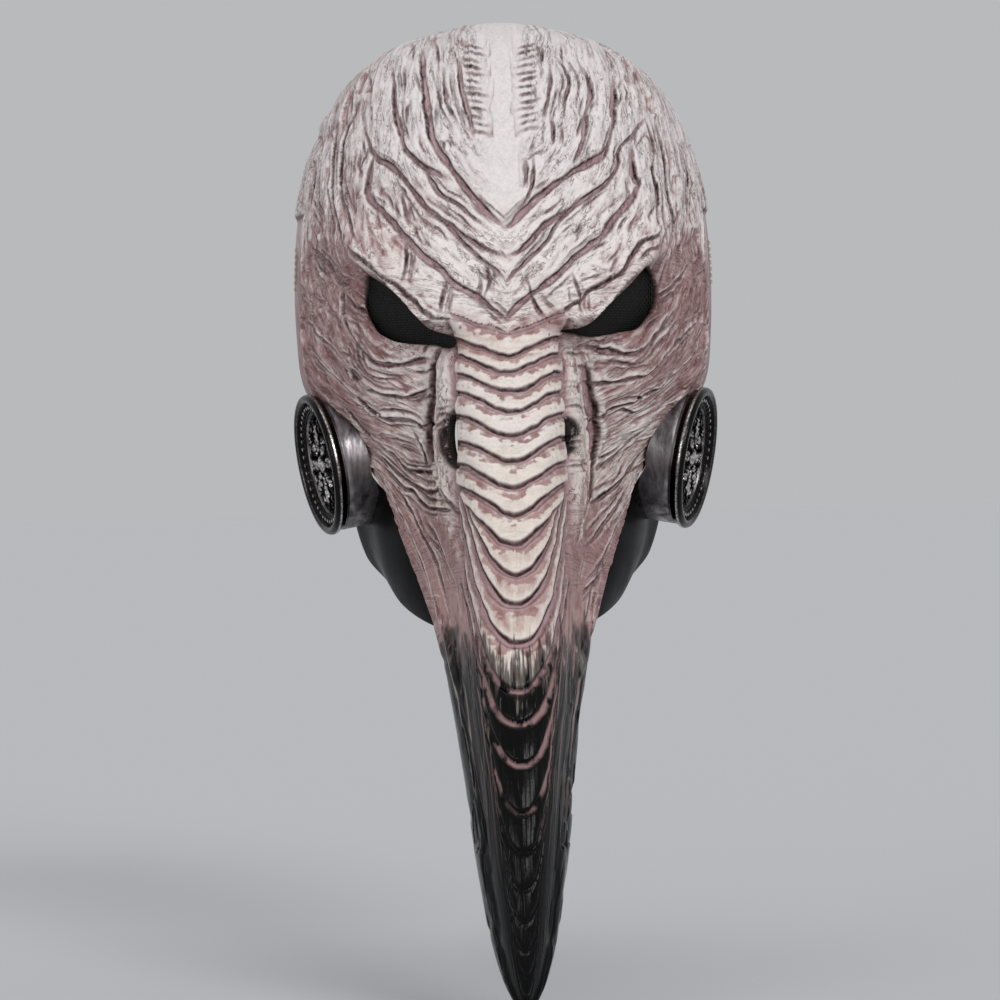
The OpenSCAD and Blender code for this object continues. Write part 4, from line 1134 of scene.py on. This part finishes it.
def disc_pieces(side, word, mats):
    # drum: a round can whose inner end follows the cheek and clears the guard
    segments, start = 128, -7.0
    t = np.linspace(0, 2 * math.pi, segments, endpoint=False)
    rings = [(22.0, RECESS_FLOOR), (22.0, 16.4), (22.5, DRUM_H), (27.2, DRUM_H), (27.75, 16.8),
             (DRUM_R, 16.3), (DRUM_R, 14.5), (27.8, 14.2), (27.8, 13.8), (DRUM_R, 13.5)]
    rings += [(DRUM_R, h) for h in np.linspace(12, 1, 8)]
    inner = [(r, None) for r in (28.0, 27.7, 26, 23, 19, 14, 9, 4, 0.6)]
    rows = []
    for r, h in rings + inner:
        ring = np.stack([r * np.cos(t), r * np.sin(t), np.full(segments, h if h is not None else 0)], -1)
        if h is None:
            stop = np.full(segments, DRUM_H - 6)
            free = np.ones(segments, bool)
            for step in np.arange(DRUM_H - 6, start, -0.25):
                ring[:, 2] = step
                place = disc_place(1, ring)
                free &= (place[:, 0] > keep_out(place) + 0.3)
                stop = np.where(free, step, stop)
            wave = np.convolve(np.tile(stop, 3), np.ones(13) / 13, "same")[segments:-segments]
            ring[:, 2] = np.maximum(stop, wave)
        rows.append(ring)
    # the side wall's rings may not pass the inner end either
    edge = rows[len(rings)][:, 2]
    for ring, (r, h) in zip(rows, rings):
        if r == DRUM_R:
            ring[:, 2] = np.maximum(ring[:, 2], edge + 0.02 * (h + 1))
    verts = np.vstack(rows)
    n = segments
    faces = [[k * n + i, k * n + (i + 1) % n, (k + 1) * n + (i + 1) % n, (k + 1) * n + i]
             for k in range(len(rows) - 1) for i in range(n)]
    faces.append([(len(rows) - 1) * n + i for i in range(n)])
    faces.append([i for i in range(n)][::-1])
    faces = [f[::-1] for f in faces] if side > 0 else faces
    drum = mesh_piece(f"disc_drum_can_{word}", disc_place(side, verts), faces, mats["gunmetal"])
    hard_part(drum, f"disc_drum_{word}")

    # bezel: a rounded outer lip round a lower ring of beads
    ring = [(22.35 + 0.22 * k, 17.2) for k in range(14)]
    lip = [(22.05, 13.3), (22.05, 16.9)] + ring + [
        (25.5, 17.6), (25.7, 18.8), (26.1, 19.6), (26.8, 20.1), (27.9, 20.1), (28.7, 19.6), (29.2, 18.7),
        (29.3, 17.8), (29.2, 17.1), (28.7, 16.9), (28.2, 16.85), (28.02, 15), (27, 14.6)]
    verts, faces = revolve(lip, 528)
    turn = np.arctan2(verts[:, 1], verts[:, 0])
    far = np.hypot(verts[:, 0], verts[:, 1])
    beads = 44
    off = (turn * beads / (2 * math.pi) + 0.5) % 1 - 0.5
    bead = 1 - ((far - 23.8) / 1.3) ** 2 - (off * 2 * math.pi * 23.8 / beads / 1.5) ** 2
    raised = 1.3 * np.sqrt(np.clip(bead, 0, 1)) * (verts[:, 2] > 17.1) * (far < 25.3)
    verts[:, 2] += raised
    faces = faces if side > 0 else faces[:, ::-1]
    # painted glints on the bead tops and a painted highlight ring along the outer lip
    lit = np.where(far < 25.4, smooth(0.9, 1.3, raised), 0.8 * gauss(far - 26.4, 0.3))
    # a painted highlight along the edge next to the drum
    lit = np.maximum(lit, gauss(verts[:, 2] - 17.7 - raised, 0.6) * (far > 28.4))
    bezel = mesh_piece(f"disc_bezel_ring_{word}", disc_place(side, verts), faces, mats["bezel"],
                       {"wear_and_glint": 0.35 + 0.65 * lit})
    hard_part(bezel, f"disc_bezel_{word}")

    # insert: a cast rosette of leaves, curls, studs and beads
    rr = np.linspace(0.02, 21.5, 90)
    tt = np.linspace(0, 2 * math.pi, 360, endpoint=False)
    r, t = np.meshgrid(rr, tt, indexing="ij")
    x, y = r * np.cos(t), r * np.sin(t)
    h = 14.6 + 0.25 * fractal(x / 1.3, y / 1.3, 3, 301)

    def dome(px, py, radius, height):
        return np.where(np.hypot(x - px, y - py) < radius,
                        15 + height * np.sqrt(np.clip(1 - ((x - px)**2 + (y - py)**2) / radius**2, 0, 1)), 0)

    for k in range(8):
        c = math.pi / 4 * k
        bend = t - c - 0.05 * np.sin(r / 2.2)
        off = np.abs((bend + math.pi) % (2 * math.pi) - math.pi) * r
        width = 2.9 * np.sin(np.clip((r - 4.6) / 12.5, 0, 1) * math.pi) ** 0.7
        swell = 2.6 * np.sqrt(np.clip(1 - (off / np.maximum(width, 0.01))**2, 0, 1))
        veins = 0.9 * gauss(off, 0.35) + 0.25 * np.sin(r * 3.2 - off * 2)
        leaf = np.where(off < width, 15.2 + swell - veins, 0)
        h = np.maximum(h, leaf)
        mid = c + math.pi / 8
        for rad, size, tall in ((15.6, 2.1, 2.4), (11.6, 1.3, 1.8), (9.0, 0.9, 1.5)):
            h = np.maximum(h, dome(rad * math.cos(mid), rad * math.sin(mid), size, tall))
        for turn in (-1, 1):
            hook = mid + turn * 0.21
            curl = np.hypot(x - 17.6 * math.cos(hook), y - 17.6 * math.sin(hook))
            h = np.maximum(h, np.where(curl < 1.8, 16.9 - 1.1 * np.abs(curl - 1.05), 0))
    for k in range(44):
        c = 2 * math.pi * k / 44
        h = np.maximum(h, dome(20.3 * math.cos(c), 20.3 * math.sin(c), 1.15, 1.3))
    h = np.maximum(h, dome(0, 0, 4.4, 3.4))
    h = np.maximum(h, np.where(np.abs(r - 5.0) < 0.5, 16.2, 0))
    h = blur(h, 1) + 0.22 * fractal(x / 0.8, y / 0.8, 3, 311)
    top = np.stack([x, y, h], -1)
    bottom = np.stack([x[-1:], y[-1:], np.full_like(x[-1:], 13.1)], -1)
    rows, cols = x.shape
    verts = np.vstack([top.reshape(-1, 3), bottom.reshape(-1, 3)])
    faces = [[i * cols + j, (i + 1) * cols + j, (i + 1) * cols + (j + 1) % cols, i * cols + (j + 1) % cols]
             for i in range(rows) for j in range(cols)]
    faces.append([j for j in range(cols)])
    faces.append([rows * cols + j for j in range(cols)][::-1])
    if side < 0:
        faces = [f[::-1] for f in faces]
    # raised parts are rubbed bright, with painted glints on the highest
    wear_and_glint = np.clip((h - 15.0) / 2.4, 0, 1) * (0.95 + 0.5 * fractal(x / 1.6, y / 1.6, 2, 321))
    wear_and_glint = np.concatenate([wear_and_glint.ravel(), np.zeros(cols)])
    insert = mesh_piece(f"disc_rosette_{word}", disc_place(side, verts), faces, mats["insert"],
                        {"wear_and_glint": wear_and_glint})
    hard_part(insert, f"disc_insert_{word}")


def antiqued(name, low, high, wear_and_glint_from, rough):
    """Dark cast metal whose raised edges are rubbed bright, with painted glints laid on them."""
    m = Nodes(name)
    wear_and_glint = m.attribute("wear_and_glint").outputs["Fac"]
    uneven = m.range(m.noise(900, 3), 0.4, 0.6, 0.35, 1.0)
    rubbed_and_glint = m.math("MULTIPLY", m.range(wear_and_glint, wear_and_glint_from, 1.0, 0, 1), uneven)
    m.link(m.mix(rubbed_and_glint, low, high), m.shader.inputs["Base Color"])
    m.link(m.range(m.noise(800, 3), 0.3, 0.7, rough - 0.1, rough + 0.1), m.shader.inputs["Roughness"])
    m.set(Metallic=1.0)
    m.bump((m.noise(1100, 4, 0.6), 0.25, 0.0004))
    return m.material


def closed_sheet(outer, inner):
    """Points and faces of a closed shell between two grids of points."""
    rows, cols = outer.shape[:2]
    base = grid_faces(rows, cols)
    half = rows * cols
    faces = [base, base[:, ::-1] + half]
    index = np.arange(half).reshape(rows, cols)
    for line in (index[0], index[-1][::-1], index[:, 0][::-1], index[:, -1]):
        a, b = line[:-1], line[1:]
        faces.append(np.stack([b, a, a + half, b + half], -1))
    return np.vstack([outer.reshape(-1, 3), inner.reshape(-1, 3)]), np.vstack(faces)


def smooth_edge(distance, radius):
    """How far a wall is drawn in near its edge, for a round rim."""
    q = np.clip(1 - distance / radius, 0, 1)
    return 1 - np.sqrt(1 - q * q * 0.98)


def chin_guard():
    rows, cols = 220, 70
    v = np.linspace(0, 14, rows)[:, None]
    h = (0.5 - 0.5 * np.cos(np.linspace(0, math.pi, cols)))[None, :]
    p = guard_skin(v, h)
    n = -grid_normals(p)
    tall = 46.0
    edge = np.minimum(h, 1 - h) * tall
    ends = np.minimum(v, 14 - v) * 14.0
    edge = np.minimum(edge, ends)
    wall = 2.5
    rim = smooth_edge(edge, 1.25)
    # a rolled bead along both long edges, and a faint unevenness away from them
    bead = 0.5 * gauss(edge - 2.2, 1.5) * smooth(0, 1.0, edge)
    low = 0.25 * fractal(p[..., 0] / 22, p[..., 2] / 22, 2, 401)
    outer = p + n * (bead + low * smooth(2, 9, edge) - 0.5 - rim * wall * 0.48)[..., None]
    inner = p - n * (wall - rim * wall * 0.48)[..., None]
    verts, faces = closed_sheet(outer, inner)
    m = Nodes("satin_black")
    m.link(m.mix(m.range(m.noise(60, 4), 0.35, 0.7, 0, 1), colour(6, 6, 7), colour(12, 12, 13)),
           m.shader.inputs["Base Color"])
    m.link(m.range(m.noise(45, 5, 0.6), 0.3, 0.7, 0.24, 0.42), m.shader.inputs["Roughness"])
    m.set(Specular_IOR_Level=0.03)
    m.bump((m.noise(350, 4), 0.10, 0.0006), (m.noise(2200, 2), 0.06, 0.0002))
    piece = mesh_piece("chin_guard_shell", verts, faces, m.material)
    # the bores that the pins run in
    for side in (-1, 1):
        pts, sides = revolve([(0.01, -9), (2.6, -9), (2.6, 9), (0.01, 9)], 40, close=False)
        place = np.stack([side * 62 + pts[:, 2], PIVOT[0] + pts[:, 0], PIVOT[1] + pts[:, 1]], -1)
        cutter = mesh_piece(f"bore_{side}", place, sides, m.material)
        cut = piece.modifiers.new("bore", "BOOLEAN")
        cut.object = cutter
        cut.solver = "EXACT"
        bpy.context.view_layer.objects.active = piece
        bpy.ops.object.modifier_apply(modifier="bore")
        bpy.data.objects.remove(cutter)
    hard_part(piece, "chin_guard", "chin_guard")


def beak_underside():
    """The glued panel behind the beak: black, with fine flutes along it."""
    rows, cols = 260, 70
    v = np.linspace(UNDERSIDE_TOP, len(RAIL) - 1.001, rows)[:, None]
    a = np.linspace(-math.pi / 2, math.pi / 2, cols)[None, :]
    v, a = np.broadcast_arrays(v, a)
    r = along(RAIL, v)
    w = np.maximum(r[..., 1], 0.2)
    y = r[..., 2] + 0.2 + 0.42 * w * np.cos(a)
    p = np.stack([w * np.sin(a), y, r[..., 0]], -1)
    flute = np.abs(np.sin(a)) * 9
    lines = 0.35 * fractal(flute + 3 * np.sign(a), r[..., 0] / 24, 3, 411)
    depth = np.minimum(3.0, 0.3 * w)
    fade = smooth(math.pi / 2, math.pi / 2 - 0.2, np.abs(a))
    outer = p + np.array([0, 1, 0]) * (lines * fade * np.clip(w / 14, 0, 1))[..., None]
    inner = p + np.array([0, -1, 0]) * (depth * np.cos(a) * 0.9 + 0.05)[..., None]
    verts, faces = closed_sheet(outer, inner)
    half = rows * cols
    z = r[..., 0].ravel()
    ragged = z + 8 * fractal(p[..., 0].ravel() / 1.5, z / 9, 3, 421)
    black = smooth(-88, -96, ragged)
    rgb = colour(120, 92, 88) * (1 - black[:, None]) + colour(13, 13, 14) * black[:, None]
    rgb = np.vstack([rgb, np.broadcast_to(colour(30, 27, 27), (half, 3))])
    gloss = np.concatenate([black, np.zeros(half)])
    piece = mesh_piece("beak_underside_panel", verts, faces[:, ::-1], shell_material(),
                       {"paint": rgb, "gloss": gloss})
    hard_part(piece, "beak_underside")


# ---------------------------------------------------------------- soft parts and trim
def under(v, a, depth):
    """A point at a depth under the shell's skin."""
    e = 0.002
    du = skin(v + e * 5, a) - skin(v - e * 5, a)
    da = skin(v, a + e) - skin(v, a - e)
    n = np.cross(da, du)
    n /= np.linalg.norm(n, axis=-1, keepdims=True)
    return skin(v, a) + n * np.asarray(depth)[..., None]


def fabric(name, base, light, scale, sheen=0.25):
    m = Nodes(name)
    coord = m.add("ShaderNodeTexCoord")
    waves = []
    for direction in ("X", "Z"):
        wave = m.add("ShaderNodeTexWave", wave_type="BANDS", bands_direction=direction)
        wave.inputs["Scale"].default_value = scale
        wave.inputs["Distortion"].default_value = 0.6
        m.link(coord.outputs["Object"], wave.inputs["Vector"])
        waves.append(wave.outputs["Fac"])
    weave = m.math("MULTIPLY", waves[0], waves[1])
    patch = m.noise(140, 4)
    tone = m.math("ADD", m.math("MULTIPLY", weave, 0.6), m.range(patch, 0.3, 0.7, -0.1, 0.4))
    m.link(m.mix(tone, base, light), m.shader.inputs["Base Color"])
    m.link(m.range(patch, 0.3, 0.7, 0.78, 0.95), m.shader.inputs["Roughness"])
    m.set(Sheen_Weight=sheen, Sheen_Roughness=0.4)
    m.bump((weave, 0.35, 0.0004), (m.noise(1800, 2), 0.2, 0.0003))
    return m.material


def pad(name, node, v0, v1, a0, a1, material, rows=70, cols=110):
    """A crowned foam pad under a knitted face, with a stitched line round it."""
    u = np.linspace(0, 1, rows)[:, None]
    w = np.linspace(0, 1, cols)[None, :]
    u, w = np.broadcast_arrays(0.5 - 0.5 * np.cos(u * math.pi), 0.5 - 0.5 * np.cos(w * math.pi))
    # round corners in plan
    k = (np.maximum(np.abs(2 * u - 1), np.abs(2 * w - 1)) / np.maximum(
        (np.abs(2 * u - 1)**5 + np.abs(2 * w - 1)**5) ** 0.2, 1e-6))
    cu, cw = 0.5 + (u - 0.5) * k, 0.5 + (w - 0.5) * k
    v = v0 + (v1 - v0) * cu
    a = np.radians(a0 + (a1 - a0) * cw)
    size = np.linalg.norm(skin(v[0, 0], a[0, 0]) - skin(v[-1, 0], a[-1, 0]))
    edge = np.minimum(1 - np.abs(2 * u - 1), 1 - np.abs(2 * w - 1)) * size / 2
    crown = np.sqrt(1 - np.clip(1 - edge / 4.5, 0, 1) ** 2)
    dip = 0.9 * gauss(edge - 5.5, 0.8)
    puff = 0.35 * fractal(cu * 5, cw * 9, 2, 501)
    thick = 0.6 + 6.0 * crown - dip + puff * crown
    near = under(v, a, WALL + 0.35 + 0.4 * (1 - crown))
    far = under(v, a, WALL + 0.35 + thick)
    verts, faces = closed_sheet(near, far)
    faces = faces[:, ::-1] if a0 < a1 else faces
    piece = mesh_piece(name, verts, faces, material)
    hard_part(piece, node)


def ribbon(name, node, line, width_axis, width, thickness, material):
    """Woven elastic along a line: the cord lines run lengthwise and stand proud."""
    line = np.asarray(line, float)
    forward = np.gradient(line, axis=0)
    forward /= np.linalg.norm(forward, axis=-1, keepdims=True)
    axis = np.asarray(width_axis, float)
    out = np.cross(forward, axis)
    out /= np.linalg.norm(out, axis=-1, keepdims=True)
    cols = 92
    s = np.linspace(-1, 1, cols)
    rib = 0.13 * np.abs(np.sin(s * math.pi * 7.5)) ** 0.7
    rib = rib - 0.35 * np.clip(np.abs(s) - 0.955, 0, 1) / 0.045
    along_line = np.concatenate([[0], np.cumsum(np.linalg.norm(np.diff(line, axis=0), axis=1))])
    pick = 0.04 * np.sin(along_line * 2 * math.pi / 1.6)[:, None]
    half = thickness / 2
    face = np.clip(half - 0.15 + rib[None, :] + pick, 0.1, half)
    mid = line[:, None, :] + axis * (s[None, :, None] * width / 2)
    outer = mid + out[:, None, :] * face[..., None]
    inner = mid - out[:, None, :] * face[..., None]
    verts, faces = closed_sheet(outer, inner)
    piece = mesh_piece(name, verts, faces, material)
    hard_part(piece, node)
    return piece


def elastics(material):
    # round the back of the head
    t = np.linspace(0, math.pi / 2, 90)
    back = np.stack([79 * np.cos(t) ** 0.9, 48 + 58 * np.sin(t) ** 0.9, 0 * t + 38], -1)
    front = np.stack([np.linspace(80.6, 79, 40)[:-1], np.linspace(-22, 48, 40)[:-1], np.full(39, 38.0)], -1)
    half = np.vstack([front, back])
    line = np.vstack([half, half[-2::-1] * np.array([-1, 1, 1])])
    length = np.concatenate([[0], np.cumsum(np.linalg.norm(np.diff(line, axis=0), axis=1))])
    even = np.linspace(0, length[-1], 620)
    line = np.stack([np.interp(even, length, line[:, k]) for k in range(3)], -1)
    forward = np.gradient(line, axis=0)
    inward = np.cross(forward, [0, 0, 1.0])
    inward /= np.linalg.norm(inward, axis=-1, keepdims=True)
    towards = np.sign((inward * (np.array([0, 30, 38]) - line)).sum(-1))[:, None]
    ribbon("head_elastic_band", "head_elastic", line + inward * towards * 0.75, (0, 0, 1), 24.6, 1.3,
           material)
    # over the crown
    crown = np.array([[-8, 132.6], [12, 133], [40, 126], [68, 108.5], [90, 82], [102, 62], [106.3, 50],
                      [106.3, 27]])
    yz = along(crown, np.linspace(0, 7, 420))
    line = np.stack([0 * yz[:, 0], yz[:, 0], yz[:, 1]], -1)
    forward = np.gradient(line, axis=0)
    outward = np.cross(forward, [1.0, 0, 0])
    outward /= np.linalg.norm(outward, axis=-1, keepdims=True)
    outward *= np.sign((outward * (line - np.array([0, 40, 40]))).sum(-1))[:, None]
    ribbon("crown_elastic_band", "crown_elastic", line + outward * 0.75, (1, 0, 0), 24.6, 1.3, material)


def stitches(name, node, rows, material):
    """Rows of thread: each stitch is a twisted two-ply bow whose ends dip into the material.

    rows holds, for each stitch, its middle, its run and its way out."""
    verts, faces = [], []
    turns, around = 16, 8
    s = np.linspace(-1, 1, turns)
    for middle, run, out in rows:
        run, out = np.asarray(run, float), np.asarray(out, float)
        across = np.cross(run, out)
        for ply in (0, math.pi):
            phase = s * 4.2 + ply
            spine = (middle + run * (s[:, None] * 1.15) + out * (0.15 - 0.75 * s[:, None] ** 4)
                     + 0.2 * (np.cos(phase)[:, None] * across + np.sin(phase)[:, None] * out))
            start = sum(len(v) for v in verts)
            ring = np.linspace(0, 2 * math.pi, around, endpoint=False)
            tube = (spine[:, None, :] + 0.27 * (np.cos(ring)[None, :, None] * across
                                                + np.sin(ring)[None, :, None] * out))
            verts.append(tube.reshape(-1, 3))
            for i in range(turns - 1):
                for j in range(around):
                    k = (j + 1) % around
                    faces.append([start + i * around + j, start + i * around + k,
                                  start + (i + 1) * around + k, start + (i + 1) * around + j])
            faces.append([start + j for j in range(around)][::-1])
            faces.append([start + (turns - 1) * around + j for j in range(around)])
    piece = mesh_piece(name, np.vstack(verts), faces, material)
    hard_part(piece, node)


def all_stitches(material):
    for side, word in ((-1, "left"), (1, "right")):
        rows = []
        for i in range(-3, 4):
            z = STRAP_Z + STITCH_PITCH * i
            p = skin(8 - (z - 35) / 25, STITCH_ANGLE)
            rows.append((np.array([side * (p[0] + 0.2), p[1], z]), (0, 0, 1), (side, 0, 0)))
        stitches(f"side_thread_{word}", f"side_stitching_{word}", rows, material)
    rows = []
    for i in range(-3, 4):
        p = skin(1.0, math.radians(i * STITCH_PITCH / 12 * 57))
        rows.append((p + np.array([0, 0, 0.75]), (1, 0, 0), (0, 0, 1)))
    stitches("crown_thread", "crown_stitching", rows, material)
    rows = [(np.array([i * STITCH_PITCH * 0.9, 106.3 + 1.5 + 0.75, STRAP_Z + 8 * k]), (1, 0, 0), (0, 1, 0))
            for i in range(-3, 4) for k in (-1, 1)]
    stitches("back_thread", "back_stitching", rows, material)


def eye_meshes():
    """Woven wire behind each eye, with a black sheet behind the wire that stands in for the shade inside the
    mask.
    """
    m = Nodes("black_mesh")
    m.link(m.mix(m.range(m.noise(400, 3), 0.3, 0.7, 0, 1), colour(6, 6, 7), colour(14, 14, 15)),
           m.shader.inputs["Base Color"])
    m.link(m.range(m.noise(600, 2), 0.3, 0.7, 0.42, 0.6), m.shader.inputs["Roughness"])
    m.bump((m.noise(2500, 2), 0.2, 0.0002))
    pitch, wire = 1.15, 0.2
    for side, word in ((-1, "left"), (1, "right")):
        verts, faces = [], []
        v0, v1, a0, a1 = 8.0, 9.85, math.radians(7.5), math.radians(45.5)
        vs, angles = np.linspace(v0, v1, 60), np.linspace(a0, a1, 60)
        tall = np.linalg.norm(np.diff(skin(vs, 0 * vs + 0.5), axis=0), axis=1).sum()
        wide = np.linalg.norm(np.diff(skin(0 * angles + 9.0, angles), axis=0), axis=1).sum()
        nv, na = int(tall / pitch), int(wide / pitch)
        for direction in (0, 1):
            many, other = (na, nv) if direction == 0 else (nv, na)
            for k in range(many):
                t = np.linspace(0, 1, other * 2 + 1)
                fixed = (k + 0.5) / many
                v = v0 + (v1 - v0) * (t if direction == 0 else fixed + 0 * t)
                a = a0 + (a1 - a0) * (fixed + 0 * t if direction == 0 else t)
                over = 0.2 * np.cos(np.arange(len(t)) * math.pi / 2 + math.pi * (k + direction))
                spine = under(v, a, WALL + 1.35 + over)
                forward = np.gradient(spine, axis=0)
                forward /= np.linalg.norm(forward, axis=-1, keepdims=True)
                out = under(v, a, np.zeros(len(t))) - under(v, a, np.ones(len(t)))
                across = np.cross(forward, out)
                ring = [spine + wire * (out * c + across * s) for c, s in ((1, 0), (0, 1), (-1, 0), (0, -1))]
                block = np.stack(ring, 1).reshape(-1, 3)
                start = sum(len(b) for b in verts)
                verts.append(block)
                i = np.arange(len(t) - 1)
                for j in range(4):
                    n = (j + 1) % 4
                    quad = [i * 4 + j, i * 4 + n, (i + 1) * 4 + n, (i + 1) * 4 + j]
                    faces.append(start + np.stack(quad, -1))
        # painted shade: a black sheet behind the wire
        gv, ga = np.meshgrid(np.linspace(v0, v1, 30), np.linspace(a0, a1, 40), indexing="ij")
        near, far = (under(gv, ga, np.full_like(gv, WALL + depth)) for depth in (1.75, 1.95))
        shade_sheet, shade_sheet_faces = closed_sheet(near, far)
        start = sum(len(b) for b in verts)
        verts.append(shade_sheet)
        faces.append(shade_sheet_faces + start)
        verts = np.vstack(verts) * np.array([side, 1, 1])
        piece = mesh_piece(f"eye_mesh_weave_{word}", verts, np.vstack(faces), m.material)
        hard_part(piece, f"eye_mesh_{word}")


def plastic(name, base, light, rough):
    m = Nodes(name)
    m.link(m.mix(m.range(m.noise(120, 4), 0.35, 0.7, 0, 1), base, light), m.shader.inputs["Base Color"])
    m.link(m.range(m.noise(200, 4), 0.3, 0.7, rough - 0.07, rough + 0.1), m.shader.inputs["Roughness"])
    m.bump((m.noise(1500, 3), 0.12, 0.0003))
    return m.material


# ---------------------------------------------------------------- camera and studio
def camera():
    """In front at 1.7 m, level with the beak's upper half, turned and rolled by a degree."""
    distance, turn, roll = 1.7, math.radians(0.8), math.radians(-1.1)
    data = bpy.data.cameras.new("camera")
    data.angle = 2 * math.atan(0.21 / distance)
    data.clip_start = 0.05
    cam = bpy.data.objects.new("camera", data)
    cam.location = (-distance * math.sin(turn) - 0.0028, -distance * math.cos(turn), -0.059)
    cam.rotation_mode = "QUATERNION"
    aim = (Vector((-0.0028, 0, -0.059)) - cam.location).to_track_quat("-Z", "Y")
    cam.rotation_quaternion = aim @ Quaternion((0, 0, 1), roll)
    bpy.context.scene.collection.objects.link(cam)
    bpy.context.scene.camera = cam


def soft_sun(name, towards, strength, spread):
    """A broad soft light from far away, so that the floor is lit evenly."""
    data = bpy.data.lights.new(name, "SUN")
    data.energy = strength
    data.angle = math.radians(spread)
    lamp = bpy.data.objects.new(name, data)
    lamp.rotation_mode = "QUATERNION"
    lamp.rotation_quaternion = (-Vector(towards)).to_track_quat("-Z", "Y")
    bpy.context.scene.collection.objects.link(lamp)


def studio():
    """A wide pale floor, a pale surround and soft lights from both sides and above."""
    m = Nodes("floor_paper")
    m.set(Base_Color=(*colour(205, 206, 209), 1), Roughness=1.0, Specular_IOR_Level=0.0)
    half, drop = 60000, -252
    corners = [(-half, -half, drop), (half, -half, drop), (half, half, drop), (-half, half, drop)]
    floor = mesh_piece("floor", corners, [[0, 1, 2, 3]], m.material)
    world = bpy.data.worlds.new("studio")
    world.use_nodes = True
    world.node_tree.nodes["Background"].inputs[0].default_value = (0.97, 0.98, 1.0, 1)
    world.node_tree.nodes["Background"].inputs[1].default_value = 0.5
    bpy.context.scene.world = world
    soft_sun("key", (0.5, -1.0, 0.55), 1.1, 24)
    soft_sun("fill", (-0.8, -1.0, 0.2), 0.65, 30)
    soft_sun("top", (0.0, -0.1, 1.0), 0.35, 40)
    bpy.context.scene.view_settings.view_transform = "Standard"


camera()
studio()
shell_piece()
chin_guard()
beak_underside()
disc_mats = {
    "gunmetal": metal("brushed_gunmetal", colour(180, 174, 176), colour(54, 50, 52), 0.34, 260,
                      (1, 1, 0.12), 0.35),
    "bezel": antiqued("antique_rim", colour(34, 32, 32), colour(236, 232, 230), 0.45, 0.24),
    "insert": antiqued("antique_relief", colour(9, 8, 9), colour(226, 221, 218), 0.84, 0.16),
}
steel = metal("plain_steel", colour(178, 178, 180), colour(120, 120, 122), 0.3, 500, (0.2, 1, 1), 0.1)
black_plastic = plastic("moulded_black", colour(16, 16, 17), colour(30, 30, 32), 0.4)
knit = fabric("knitted_foam_face", colour(28, 28, 30), colour(58, 58, 62), 420)
woven = fabric("woven_elastic", colour(16, 16, 17), colour(44, 44, 47), 300, 0.15)
thread = fabric("waxed_thread", colour(196, 184, 166), colour(226, 218, 204), 600, 0.1)
for side, word in ((-1, "left"), (1, "right")):
    disc_pieces(side, word, disc_mats)
    bevelled(f"disc_screws_{word}", f"drum_screws_{word}", steel, 0.0003, "mask")
    bevelled(f"pivot_pin_{word}", f"guard_pin_{word}", steel, 0.0004, "mask")
    bevelled(f"strap_slider_{word}", f"slider_frame_{word}", black_plastic, 0.0006, f"slider_{word}")
    pad(f"temple_cushion_{word}", f"temple_pad_{word}", 6, 7.1, side * 48, side * 74, knit)
    pad(f"cheek_cushion_{word}", f"cheek_pad_{word}", 9.9, 10.8, side * 36, side * 62, knit)
pad("forehead_cushion", "forehead_pad", 5.9, 7.4, -30, 30, knit)
elastics(woven)
all_stitches(thread)
eye_meshes()
